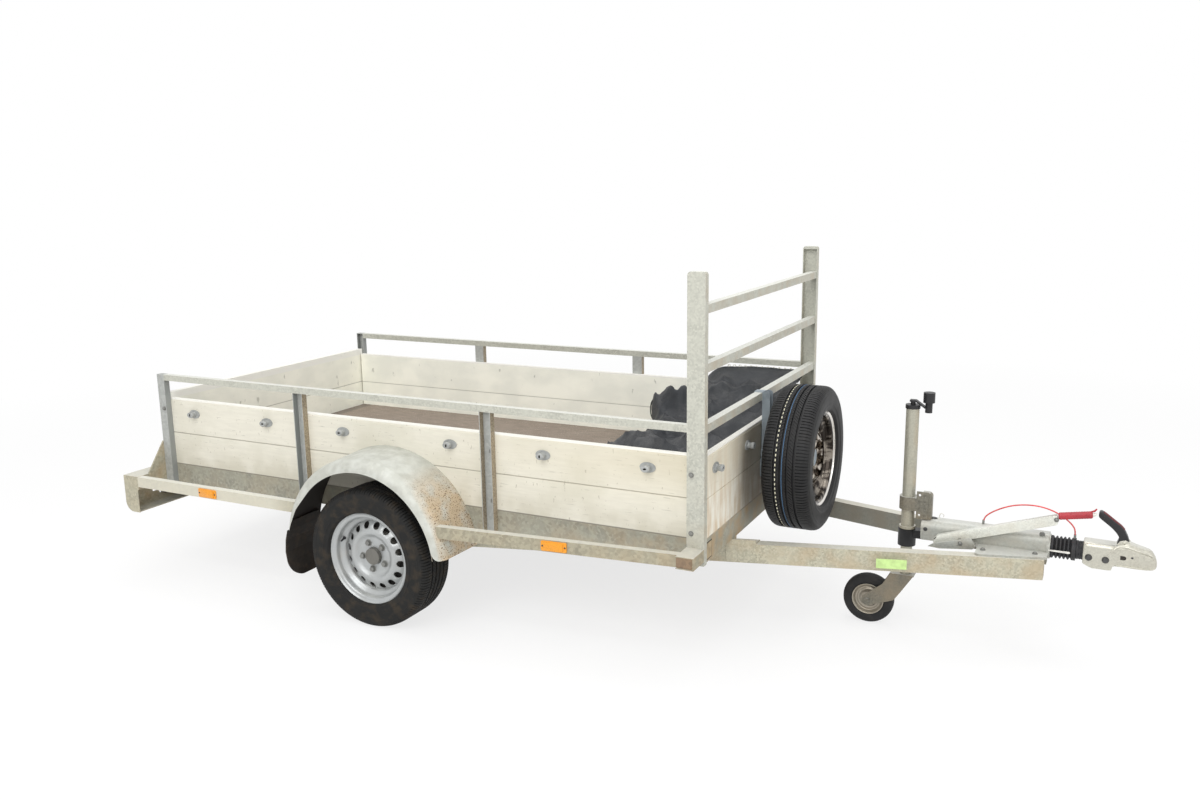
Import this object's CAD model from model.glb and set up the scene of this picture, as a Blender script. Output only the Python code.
"""Looks of a single-axle utility trailer: finishes, fittings, wheels, coupling and folded cover."""

import logging
import math
from collections.abc import Sequence
from dataclasses import dataclass, field
from enum import Enum
from functools import cache, partial, reduce

import bmesh
import bpy
from mathutils import Matrix, Vector, noise


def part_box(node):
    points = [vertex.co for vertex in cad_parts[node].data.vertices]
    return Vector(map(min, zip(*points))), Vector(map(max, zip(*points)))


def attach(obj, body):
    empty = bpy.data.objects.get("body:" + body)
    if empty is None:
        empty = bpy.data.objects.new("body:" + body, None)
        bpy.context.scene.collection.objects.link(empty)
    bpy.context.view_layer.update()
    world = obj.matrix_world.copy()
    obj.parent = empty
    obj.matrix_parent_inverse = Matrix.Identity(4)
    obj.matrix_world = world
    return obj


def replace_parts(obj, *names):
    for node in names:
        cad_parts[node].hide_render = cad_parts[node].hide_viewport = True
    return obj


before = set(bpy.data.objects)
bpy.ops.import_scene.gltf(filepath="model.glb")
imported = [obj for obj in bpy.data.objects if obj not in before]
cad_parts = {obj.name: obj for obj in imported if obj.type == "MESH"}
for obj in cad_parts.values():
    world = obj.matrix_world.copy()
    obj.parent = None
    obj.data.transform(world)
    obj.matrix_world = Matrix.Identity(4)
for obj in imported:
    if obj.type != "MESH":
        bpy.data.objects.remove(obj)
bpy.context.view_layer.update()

LOG = logging.getLogger("trailer")
NODES: dict[str, bpy.types.Object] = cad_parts
MILLIMETRE = 0.001
AXLE_X = (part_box("tyre_right")[0].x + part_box("tyre_right")[1].x) / 2
SIDES = (-1, 1)  # the trailer's right side, then its left

Point = tuple[float, float, float]
Pair = tuple[float, float]
Colour = tuple[float, float, float]
Socket = bpy.types.NodeSocket

AHEAD, LEFT, UP = Vector((1, 0, 0)), Vector((0, 1, 0)), Vector((0, 0, 1))


def fore(distance: float) -> float:
    """Gives the x of a place this many metres in front of the axle."""
    return AXLE_X + distance


def at(x: float, y: float, z: float) -> Vector:
    """Gives a place from its metres in front of the axle, to the left and up."""
    return Vector((fore(x), y, z))


def at_mm(x: float, y: float, z: float) -> Vector:
    """Gives a place from its millimetres in front of the axle, to the left and up."""
    return at(x * MILLIMETRE, y * MILLIMETRE, z * MILLIMETRE)


def from_mm(pairs: Sequence[Pair]) -> list[Pair]:
    """Turns pairs of millimetres into pairs of metres."""
    return [(a * MILLIMETRE, b * MILLIMETRE) for a, b in pairs]


def placed(name: str, data: bpy.types.ID) -> bpy.types.Object:
    """Puts a new object into the scene.

    Args:
        name: The object's name.
        data: Its mesh, curve, lamp or camera.

    Returns:
        The object.
    """
    new = bpy.data.objects.new(name, data)
    bpy.context.scene.collection.objects.link(new)
    return new


def tone(red: int, green: int, blue: int) -> Colour:
    """Turns a screen colour, from 0 to 255 a channel, into the linear colour that a shader takes."""
    shares = (channel / 255 for channel in (red, green, blue))
    return tuple(s / 12.92 if s <= 0.04045 else ((s + 0.055) / 1.055) ** 2.4 for s in shares)


def lit(colour: Colour, share: float) -> Colour:
    """Gives a colour at this share of its brightness, held at white."""
    return tuple(min(1.0, channel * share) for channel in colour)


# -------- finishes


class NodeBoard:
    """One node tree, laid out with short calls."""

    def __init__(self, owner: bpy.types.Material | bpy.types.World) -> None:
        """Starts an empty tree with the coordinates of the piece it is on.

        Args:
            owner: The material or world that the tree belongs to.
        """
        owner.use_nodes = True
        self.tree = owner.node_tree
        self.tree.nodes.clear()
        self.coordinates = self.add("TexCoord").outputs

    def add(self, kind: str, feeds: dict[int | str, object] | None = None, **options: object) -> bpy.types.Node:
        """Adds a node, sets its options and feeds its inputs.

        Args:
            kind: The node's type, after the word ShaderNode.
            feeds: A socket, number or colour for each input, by the input's name or place.
            options: The node's own settings.

        Returns:
            The node.
        """
        node = self.tree.nodes.new("ShaderNode" + kind)
        for option, setting in options.items():
            setattr(node, option, setting)
        for key, value in (feeds or {}).items():
            self.feed(node.inputs[key], value)
        return node

    def feed(self, socket: Socket, value: object) -> None:
        """Links a socket to another one, or sets it to a number or colour.

        Args:
            socket: The input to feed.
            value: A socket, a number, or a colour of three numbers.
        """
        if isinstance(value, bpy.types.NodeSocket):
            self.tree.links.new(value, socket)
        elif isinstance(value, tuple) and socket.type == "RGBA":
            socket.default_value = (*value, 1.0)
        else:
            socket.default_value = value

    def noise(self, scale: float, detail: float, stretch: Point = (1, 1, 1)) -> Socket:
        """Gives random blotches, from about 0.3 to 0.7: how many per metre, their layers and their stretch."""
        place = self.add("Mapping", {"Vector": self.coordinates["Object"], "Scale": stretch}).outputs["Vector"]
        return self.add("TexNoise", {"Vector": place, "Scale": scale, "Detail": detail}).outputs["Fac"]

    def patches(self, scale: float, detail: float, low: float, high: float, stretch: Point = (1, 1, 1),
                to: Pair = (0, 1)) -> Socket:
        """Gives the blotches of noise with the tones from low to high spread over another range."""
        return self.spread(self.noise(scale, detail, stretch), low, high, to)

    def crystals(self, scale: float, output: str = "Color") -> Socket:
        """Gives random cells, so many per metre, as in the spangle of zinc."""
        return self.add("TexVoronoi", {"Vector": self.coordinates["Object"], "Scale": scale}).outputs[output]

    def spread(self, value: Socket, low: float, high: float, to: Pair = (0, 1)) -> Socket:
        """Spreads a number's range from low to high over another range, held at both ends."""
        return self.add("MapRange", dict(enumerate((value, low, high, *to)))).outputs["Result"]

    def sum(self, operation: str, first: object, second: object = 0) -> Socket:
        """Works out one sum, such as ADD, MAXIMUM or ABSOLUTE, on numbers or sockets."""
        return self.add("Math", {0: first, 1: second}, operation=operation).outputs["Value"]

    def times(self, *factors: object) -> Socket:
        """Multiplies numbers and sockets with each other."""
        return reduce(partial(self.sum, "MULTIPLY"), factors)

    def away(self, value: Socket, middle: float) -> Socket:
        """Gives how far a number lies from a middle one, on either side."""
        return self.sum("ABSOLUTE", self.sum("SUBTRACT", value, middle))

    def mix(self, share: object, under: object, over: object) -> Socket:
        """Lays one colour over another, as much as the share says."""
        return self.add("Mix", {0: share, 6: under, 7: over}, data_type="RGBA").outputs[2]

    def layers(self, colour: object, *coats: tuple[object, ...]) -> Socket:
        """Lays colours over a first one in turn.

        Args:
            colour: The first colour, or a socket.
            coats: For each layer its colour, then the factors that make up how much of it shows.

        Returns:
            A colour socket.
        """
        for over, *factors in coats:
            colour = self.mix(self.times(*factors), colour, over)
        return colour

    def along(self, axis: str, source: str = "Object") -> Socket:
        """Gives one coordinate of the place, or with Normal as source, of the direction a face looks."""
        return self.add("SeparateXYZ", {"Vector": self.coordinates[source]}).outputs[axis]

    def between(self, axis: str, start: float, end: float, to: Pair = (0, 1)) -> Socket:
        """Gives a number that grows from one place to another along an axis."""
        return self.spread(self.along(axis), start, end, to)

    def facing(self, axis: str, start: float, end: float) -> Socket:
        """Gives a number that grows as faces turn from one share along an axis to another."""
        return self.spread(self.along(axis, "Normal"), start, end)


class PaintBoard(NodeBoard):
    """The nodes of one finish, ending in a shader."""

    def __init__(self, owner: bpy.types.Material) -> None:
        """Starts an empty material with a shader and an output.

        Args:
            owner: The material.
        """
        super().__init__(owner)
        self.surface = self.add("BsdfPrincipled")
        self.add("OutputMaterial", {"Surface": self.surface.outputs["BSDF"]})

    def shade(self, **inputs: object) -> None:
        """Feeds the shader's inputs, named with underscores for spaces."""
        for name, value in inputs.items():
            self.feed(self.surface.inputs[name.replace("_", " ")], value)

    def relief(self, height: Socket, depth: float, strength: float = 1.0) -> None:
        """Bumps the surface by a height from 0 to 1, to a depth in metres."""
        bump = self.add("Bump", {"Height": height, "Distance": depth, "Strength": strength})
        self.shade(Normal=bump.outputs["Normal"])


@dataclass(frozen=True)
class Finish:
    """A surface finish: the colour, how rough it is and what the weather did to it."""

    name: str
    slot: str
    colour: Colour
    rough: float = 0.5
    metal: float = 0.0
    wear: float = field(default=0.72, kw_only=True)  # how bright the worn patches are against the rest

    def paint(self, board: PaintBoard) -> None:
        """Draws a plain moulded or painted surface with faint mottling and wear.

        Args:
            board: The material's nodes.
        """
        rough = board.patches(90, 4, 0.3, 0.7, to=(self.rough * 0.85, self.rough * 1.2))
        colour = board.layers(self.colour, (lit(self.colour, self.wear), board.patches(35, 6, 0.45, 0.75)))
        board.shade(Base_Color=colour, Roughness=rough)
        board.relief(board.noise(700, 3), 0.0002)

    @cache
    def material(self) -> bpy.types.Material:
        """Builds the finish's material once and gives it again each time after.

        Returns:
            The material.
        """
        material = bpy.data.materials.new(self.name)
        board = PaintBoard(material)
        board.shade(Metallic=self.metal)
        self.paint(board)
        return material


@dataclass(frozen=True)
class ZincFinish(Finish):
    """Hot-dipped or plated zinc with its spangle, dull patches and road dirt."""

    spangle: float = 95.0  # crystals per metre
    contrast: float = 0.1
    dirt: Colour = tone(176, 152, 118)
    dirt_share: float = 0.35
    dirt_heights: Pair = (0.75, 0.38)  # heights where the dirt starts and where it is full
    inner: float = 0.0  # how much darker the faces turned to the middle line are
    bleach: float = 0.0  # how much paler the part behind the axle is

    def paint(self, board: PaintBoard) -> None:
        """Draws spangle, dull bloom, dark specks and brown dirt on front-facing faces.

        Args:
            board: The material's nodes.
        """
        light = lit(self.colour, 1 + 2.2 * self.contrast)
        cells = board.spread(board.crystals(self.spangle), 0.15, 0.85)
        drawbar = board.between("X", fore(0.6), fore(1.2), (0.6, 1.6))
        low = board.times(board.between("Z", *self.dirt_heights), drawbar, 0.4)
        dirty = board.sum("MAXIMUM", board.facing("X", 0.35, 0.9), low)
        zinc = board.layers(
            board.mix(cells, lit(self.colour, 1 - 2.0 * self.contrast), light),
            (light, board.patches(9, 8, 0.38, 0.62), 0.45),
            (lit(self.colour, 0.5), board.patches(260, 2, 0.68, 0.74), 0.5),
            (self.dirt, dirty, board.patches(14, 9, 0.4, 0.66), self.dirt_share),
        )
        if self.inner:
            inward = board.spread(board.times(board.along("Y", "Normal"), board.along("Y")), -0.03, -0.08)
            zinc = board.layers(zinc, (tone(84, 88, 90), inward, self.inner))
        if self.bleach:
            zinc = board.layers(zinc, (tone(226, 223, 208), board.between("X", fore(-0.3), fore(-0.5)), self.bleach))
        crown = (tone(232, 233, 228), board.facing("Z", 0.8, 0.97), 0.45)
        rough = board.spread(cells, 0, 1, (self.rough * 0.85, self.rough * 1.15))
        board.shade(Base_Color=board.layers(zinc, crown), Roughness=rough)
        board.relief(board.sum("ADD", cells, board.noise(420, 3)), 0.00012, 0.6)


@dataclass(frozen=True)
class PlankFinish(Finish):
    """Chalky pressed sheet planks: fine scratches, a dark seam, a white top bead and dirt on the front."""

    inside: Colour = tone(251, 250, 238)
    stain: Colour = tone(238, 238, 227)
    dirt: Colour = tone(204, 180, 146)
    dirt_share: float = 0.75
    seam: float = 0.629  # height of the seam between two planks
    bead: float = 0.779  # height where the top bead starts
    foot: float = 0.482  # height of the sheet's lower edge

    def paint(self, board: PaintBoard) -> None:
        """Draws both faces, then the seam, the bead, the lower edge and the dirt on the front wall.

        Args:
            board: The material's nodes.
        """
        height = board.along("Z")
        scratches = board.patches(26, 7, 0.4, 0.6, (0.35, 0.35, 3.0))
        inside = self.inner_side(board)
        crack = board.spread(board.away(height, self.seam), 0.0028, 0.0012)
        front = board.between("X", fore(1.29), fore(1.31))
        tanned = board.times(board.between("X", fore(0.2), fore(1.25), (0.0, 0.45)), board.spread(height, 0.56, 0.72))
        low = board.spread(height, 0.76, 0.5, (0.25, 1.0))
        drips = board.patches(13, 9, 0.4, 0.62, (1, 2.6, 0.6))
        behind_spare = board.spread(board.away(board.along("Y"), -0.06), 0.4, 0.2)
        sheet = board.layers(
            board.mix(inside, self.outer_face(board, scratches), self.inner_face(board)),
            (tone(136, 132, 120), crack, 0.6),
            (tone(252, 248, 236), front, 0.6),
            (tone(196, 184, 152), tanned, board.sum("SUBTRACT", 1.0, inside)),
            (tone(92, 86, 76), board.spread(height, self.foot + 0.0055, self.foot + 0.0035), 0.75),
            (self.dirt, low, front, drips, self.dirt_share),
            (tone(104, 98, 88), behind_spare, front, 0.6),
            (tone(243, 242, 236), board.spread(height, self.bead, self.bead + 0.0015), 0.8),
        )
        rough = board.spread(scratches, 0, 1, (self.rough * 1.15, self.rough * 0.9))
        board.shade(Base_Color=sheet, Roughness=rough)
        board.relief(board.sum("SUBTRACT", scratches, crack), 0.0002, 0.5)

    def inner_side(self, board: PaintBoard) -> Socket:
        """Finds the faces that look into the bed.

        Args:
            board: The material's nodes.

        Returns:
            A number socket, 1 on those faces.
        """
        inward = board.spread(board.times(board.along("Y", "Normal"), board.along("Y")), -0.1, -0.3)
        gate = board.times(board.between("X", fore(-1.2), fore(-1.24)), board.facing("X", 0.4, 0.8))
        return board.sum("MAXIMUM", inward, board.sum("MAXIMUM", gate, board.facing("X", -0.4, -0.8)))

    def outer_face(self, board: PaintBoard, scratches: Socket) -> Socket:
        """Draws the outer faces: scratches, stains, streaks, ticks and low grime.

        Args:
            board: The material's nodes.
            scratches: The scratches.

        Returns:
            A colour socket.
        """
        return board.layers(
            board.mix(scratches, lit(self.colour, 0.955), self.colour),
            (tone(213, 209, 193), board.patches(5, 7, 0.5, 0.72)),
            (tone(158, 154, 142), board.patches(60, 3, 0.66, 0.7, (0.25, 0.25, 2.6)), 0.45),
            (tone(150, 142, 126), board.patches(120, 2, 0.7, 0.73, (1, 1, 0.4)), 0.5),
            (tone(190, 184, 164), board.between("Z", 0.62, 0.48), board.patches(9, 8, 0.35, 0.6), 0.55),
        )

    def inner_face(self, board: PaintBoard) -> Socket:
        """Draws the inner faces: soft clouds and scuffs."""
        clouds = board.mix(board.patches(6, 9, 0.38, 0.62, (1, 1, 1.4)), self.stain, self.inside)
        return board.layers(clouds, (tone(168, 167, 156), board.patches(34, 4, 0.66, 0.7, (1, 1, 0.45)), 0.6))


@dataclass(frozen=True)
class PostFinish(Finish):
    """Zinc of the channel posts: blue-grey inside, and brown road dirt on the flanges that face forward."""

    posts: Pair = (-0.461, 0.453)  # middles of the posts, in front of the axle
    edge: float = 0.002
    flange: Colour = tone(174, 158, 132)
    hollow: Colour = tone(150, 153, 151)

    def paint(self, board: PaintBoard) -> None:
        """Draws the channel's inner faces, its web and its speckled front flange.

        Args:
            board: The material's nodes.
        """
        cells = board.spread(board.crystals(90), 0.15, 0.85)
        ahead = board.facing("X", 0.4, 0.8)
        rear, front = (board.between("X", fore(x), fore(x) + self.edge) for x in self.posts)
        rear = board.times(rear, board.between("X", 0.0, -self.edge))
        dirty = board.times(ahead, board.sum("MAXIMUM", front, rear))
        earth = board.mix(board.patches(150, 5, 0.42, 0.58), self.flange, lit(self.flange, 0.62))
        colour = board.layers(
            board.mix(cells, lit(self.colour, 0.82), self.colour),
            (self.hollow, board.sum("SUBTRACT", ahead, dirty)),
            (earth, dirty, 0.9),
        )
        board.shade(Base_Color=colour, Roughness=self.rough)
        board.relief(board.sum("ADD", cells, board.noise(300, 3)), 0.00015, 0.6)


@dataclass(frozen=True)
class BoardFinish(Finish):
    """Weathered brown floor board with a pressed grip pattern, pale specks and a darker edge."""

    speck: Colour = tone(205, 190, 176)

    def paint(self, board: PaintBoard) -> None:
        """Draws the board's grain, rubbed patches, specks, darker rear edge and grip pattern.

        Args:
            board: The material's nodes.
        """
        grain = board.patches(26, 8, 0.34, 0.66, (0.5, 2.5, 1))
        colour = board.layers(
            board.mix(grain, lit(self.colour, 0.72), self.colour),
            (tone(164, 154, 142), board.patches(3.5, 9, 0.5, 0.7), 0.4),
            (tone(104, 94, 84), board.patches(210, 4, 0.5, 0.6), 0.5),
            (self.speck, board.patches(150, 3, 0.63, 0.7), 0.8),
            (tone(104, 97, 88), board.between("X", fore(-1.165), fore(-1.18)), 0.7),
        )
        board.shade(Base_Color=colour, Roughness=self.rough)
        board.relief(board.sum("ADD", board.crystals(260, "Distance"), grain), 0.0006)


@dataclass(frozen=True)
class RubberFinish(Finish):
    """Tyre or moulded rubber with grey bloom and, on a road tyre, brown dust."""

    dust: Colour = tone(120, 108, 92)
    dust_share: float = 0.25

    def paint(self, board: PaintBoard) -> None:
        """Draws rubber with bloom and dust that settles in patches.

        Args:
            board: The material's nodes.
        """
        bloom = board.patches(18, 7, 0.4, 0.68)
        grey = tuple(channel * 1.5 + 0.004 for channel in self.colour)
        dust = (self.dust, board.patches(30, 9, 0.46, 0.72), self.dust_share)
        board.surface.inputs["Specular IOR Level"].default_value = 0.35
        board.shade(Base_Color=board.layers(self.colour, (grey, bloom), dust))
        board.shade(Roughness=board.spread(bloom, 0, 1, (self.rough * 0.85, self.rough)))
        board.relief(board.noise(900, 2), 0.0002, 0.5)


@dataclass(frozen=True)
class GuardFinish(Finish):
    """Zinc mudguard: dull spangle, a pale worn crown and brown spatter over its front."""

    spatter: Colour = tone(196, 172, 138)
    spot: Colour = tone(112, 88, 64)
    middle: Pair = (fore(-0.015), 0.29)  # the arch's middle: x and z

    def paint(self, board: PaintBoard) -> None:
        """Draws the zinc, the film of road dirt in front, its dark spots and the black underside.

        Args:
            board: The material's nodes.
        """
        cells = board.spread(board.crystals(60), 0.1, 0.9)
        ahead, front = board.facing("X", 0.45, 0.8), board.between("X", fore(0.1), fore(0.24))
        rise = board.sum("ADD", *(
            board.times(board.along(axis, "Normal"), board.sum("SUBTRACT", board.along(axis), middle))
            for axis, middle in zip("XZ", self.middle)
        ))
        level = board.spread(board.away(board.along("Y", "Normal"), 0), 0.8, 0.5)
        under = board.times(board.spread(rise, -0.05, -0.2), level)
        colour = board.layers(
            board.mix(cells, lit(self.colour, 0.88), self.colour),
            (tone(212, 214, 208), board.patches(22, 8, 0.42, 0.66), 0.5),
            (self.spatter, ahead, front, board.patches(16, 9, 0.3, 0.56), 0.8),
            (self.spot, ahead, front, board.patches(190, 2, 0.58, 0.63)),
            (tone(48, 44, 40), under),
        )
        board.shade(Base_Color=colour, Roughness=board.spread(under, 0, 1, (self.rough, 0.9)))
        board.relief(board.noise(40, 6), 0.0004, 0.5)


@dataclass(frozen=True)
class ClothFinish(Finish):
    """Coated woven cover cloth with a soft sheen and dusty creases."""

    dust: Colour = tone(96, 94, 92)
    threads: float = 420.0  # threads per metre

    def paint(self, board: PaintBoard) -> None:
        """Draws the weave, the dust on its raised folds and its sheen.

        Args:
            board: The material's nodes.
        """
        weave = board.times(*(board.noise(self.threads, 2, way) for way in ((1, 0.12, 1), (0.12, 1, 1))))
        lifted = board.layers(self.colour, (self.dust, board.patches(9, 9, 0.46, 0.66), 0.4))
        board.shade(Base_Color=board.mix(board.spread(weave, 0.2, 0.3), self.colour, lifted))
        board.shade(Roughness=board.patches(14, 5, 0.35, 0.65, to=(self.rough * 0.8, self.rough)))
        board.surface.inputs["Specular IOR Level"].default_value = 0.35
        board.surface.inputs["Sheen Weight"].default_value = 0.03
        board.surface.inputs["Sheen Roughness"].default_value = 0.5
        board.relief(board.sum("ADD", weave, board.times(board.noise(16, 6), 2.0)), 0.0015, 0.6)


@dataclass(frozen=True)
class ChromeFinish(Finish):
    """Polished rim: a bright lip, a dark barrel and a browned, mottled disc."""

    middle: Pair = (-0.05, 0.652)  # y and z of the wheel's axis
    lip_radius: float = 0.1745
    barrel_radius: float = 0.14
    edge: float = 0.002

    def paint(self, board: PaintBoard) -> None:
        """Draws the disc, the barrel and the lip by how far they lie from the wheel's axis.

        Args:
            board: The material's nodes.
        """
        offsets = [board.sum("SUBTRACT", board.along(axis), middle) for axis, middle in zip("YZ", self.middle)]
        radius = board.sum("SQRT", board.sum("ADD", *(board.times(offset, offset) for offset in offsets)))
        past_disc, past_barrel = (board.spread(radius, r, r + self.edge) for r in (self.barrel_radius, self.lip_radius))
        patches = board.patches(38, 6, 0.44, 0.56, (0.4, 1, 1))
        disc = board.mix(patches, tone(96, 86, 76), tone(190, 182, 172))
        barrel = board.mix(board.patches(30, 5, 0.5, 0.6, (0.3, 1, 1)), tone(46, 41, 37), tone(142, 134, 124))
        metal = board.layers(disc, (barrel, past_disc), (self.colour, past_barrel))
        board.shade(Base_Color=metal, Roughness=board.spread(patches, 0, 1, (self.rough * 1.6, self.rough)))
        board.relief(board.noise(160, 3), 0.0002, 0.4)


@dataclass(frozen=True)
class LensFinish(Finish):
    """Moulded lamp lens: clear coat over small raised prisms."""

    prism: float = 260.0

    def paint(self, board: PaintBoard) -> None:
        """Draws the lens's colour, its prisms and its gloss.

        Args:
            board: The material's nodes.
        """
        prisms = board.crystals(self.prism, "Distance")
        colour = board.mix(board.spread(prisms, 0.1, 0.6), self.colour, lit(self.colour, 0.75))
        board.shade(Base_Color=colour, Roughness=self.rough)
        board.surface.inputs["Coat Weight"].default_value = 0.6
        board.surface.inputs["Coat Roughness"].default_value = 0.08
        board.relief(prisms, 0.0006, 0.6)


class Coat(Enum):
    """Every finish on the trailer."""

    ZINC = ZincFinish("frame_zinc", "galvanised_steel", tone(184, 184, 173), 0.55, 0.2, 150.0, contrast=0.07)
    ZINC_BEAM = ZincFinish("beam_zinc", "galvanised_steel", tone(176, 172, 153), 0.6, 0.15, 160.0, dirt_share=0.7,
                           inner=0.6)
    ZINC_BAR = ZincFinish("bar_zinc", "galvanised_steel", tone(160, 154, 134), 0.6, 0.15, dirt_share=0.6, bleach=0.6)
    ZINC_REAR = ZincFinish("rear_beam_zinc", "galvanised_steel", tone(172, 167, 147), 0.6, 0.15, dirt_share=0.6)
    CHASSIS = ZincFinish("chassis_zinc", "galvanised_steel", tone(154, 152, 138), 0.6, 0.15, dirt_share=0.9)
    POST = PostFinish("post_zinc", "galvanised_steel", tone(178, 180, 176), 0.55, 0.2)
    PLATED = ZincFinish("plated_zinc", "bright_zinc", tone(216, 217, 208), 0.42, 0.35, 240.0, 0.05)
    HOUSING = ZincFinish("cast_zinc", "galvanised_steel", tone(168, 170, 164), 0.5, 0.3, 160.0, 0.07, dirt_share=0.3)
    COLUMN = ZincFinish("column_zinc", "bright_zinc", tone(166, 164, 150), 0.45, 0.35, 300.0, 0.08, dirt_share=0.4)
    FORK = ZincFinish("fork_zinc", "bright_zinc", tone(118, 115, 104), 0.5, 0.35, 200.0, 0.1, dirt_share=0.4)
    HEAD = ZincFinish("coupling_zinc", "bright_zinc", tone(190, 188, 176), 0.34, 0.55, 200.0, 0.06, dirt_share=0.15)
    GUARD = GuardFinish("mudguard_zinc", "galvanised_steel", tone(190, 191, 182), 0.55, 0.15)
    PLANK = PlankFinish("wall_sheet", "wall_aluminium", tone(226, 222, 208), 0.6, 0.05)
    BOARD = BoardFinish("floor_board_brown", "floor_wood", tone(146, 133, 120), 0.85)
    TYRE = RubberFinish("road_rubber", "road_tyre", tone(20, 20, 19), 0.85, dust=tone(96, 80, 58), dust_share=0.22)
    SPARE_TYRE = RubberFinish("spare_rubber", "road_tyre", tone(20, 20, 21), 0.62, dust_share=0.02)
    RUBBER = RubberFinish("black_rubber_part", "black_rubber", tone(38, 38, 40), 0.6, dust_share=0.05)
    FLAP = RubberFinish("flap_rubber", "black_rubber", tone(36, 32, 28), 0.8, dust=tone(84, 68, 52), dust_share=0.35)
    JOCKEY_RUBBER = RubberFinish("jockey_tyre_rubber", "black_rubber", tone(27, 27, 28), 0.75, dust_share=0.06)
    SILVER = ZincFinish("silver_paint", "wheel_silver", tone(174, 177, 177), 0.38, 0.4, 30.0, 0.02, dirt_share=0.15)
    JOCKEY_SILVER = ZincFinish("jockey_silver", "wheel_silver", tone(158, 152, 140), 0.35, 0.5, 60.0, 0.03,
                               dirt_share=0.3)
    POLISHED = ChromeFinish("polished_rim", "spare_rim_bright", tone(226, 222, 216), 0.14, 0.9)
    IRON = Finish("cast_iron_dark", "cast_iron", tone(84, 78, 72), 0.7, 0.4)
    SHIELD = Finish("brake_shield_black", "black_paint", tone(34, 32, 30), 0.8, 0.1)
    CAP = Finish("hub_cap_brown", "cast_iron", tone(116, 114, 108), 0.45, 0.35)
    BLUE_GREY = Finish("bracket_paint", "blue_grey_paint", tone(146, 156, 163), 0.5, 0.2)
    INLAY = Finish("dark_red_inlay", "red_plastic", tone(98, 34, 38), 0.6)
    BLACK = Finish("black_enamel", "black_paint", tone(32, 32, 34), 0.4, 0.1)
    DARK_BOLT = Finish("dark_bolt", "bright_zinc", tone(86, 86, 86), 0.35, 0.7)
    RUST = ZincFinish("bar_end_rust", "galvanised_steel", tone(128, 108, 88), 0.8, 0.1, 120.0, 0.14)
    BOLT = Finish("bolt_steel", "bright_zinc", tone(136, 136, 132), 0.45, 0.5)
    RED_GRIP = Finish("red_grip", "red_plastic", tone(172, 46, 56), 0.45)
    RED_CORD = Finish("red_cord", "cable_red", tone(222, 84, 84), 0.5)
    WHITE = Finish("white_plastic", "plate_white", tone(232, 230, 222), 0.5)
    PLATE = Finish("blank_plate", "plate_white", tone(218, 217, 208), 0.45, 0.1, wear=0.93)
    STAMPED = Finish("stamped_plate", "plate_white", tone(176, 158, 128), 0.6, 0.1)
    LABEL = Finish("pale_label", "plate_white", tone(196, 226, 148), 0.6)
    KNOB = Finish("knob_grey", "grey_plastic", tone(166, 168, 166), 0.5, 0.1)
    AMBER = LensFinish("amber_lens", "orange_lens", tone(252, 164, 2), 0.35)
    RED_LENS = LensFinish("red_lens", "lamp_red", tone(186, 22, 26), 0.25)
    CLEAR_LENS = LensFinish("clear_lens", "lamp_red", tone(226, 226, 222), 0.2)
    CLOTH = ClothFinish("cover_cloth_black", "cover_cloth", tone(21, 25, 30), 0.55)
    DUST_LINE = Finish("dark_gap", "black_rubber", tone(52, 48, 44), 0.9)
    YELLOW_MARK = Finish("tread_mark_yellow", "road_tyre", tone(236, 232, 206), 0.7)
    BLUE_MARK = Finish("tread_mark_blue", "road_tyre", tone(66, 100, 134), 0.7)


def dress(coat: Coat, *names: str) -> None:
    """Gives nodes of the solid model, by their names, their finish.

    Args:
        coat: The finish.
        names: The nodes.
    """
    for name in names:
        slots = NODES[name].data.materials
        slots.clear()
        slots.append(coat.value.material())
    LOG.info("dressed %s in %s", ", ".join(names), coat.value.name)


# -------- mesh work


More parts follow.
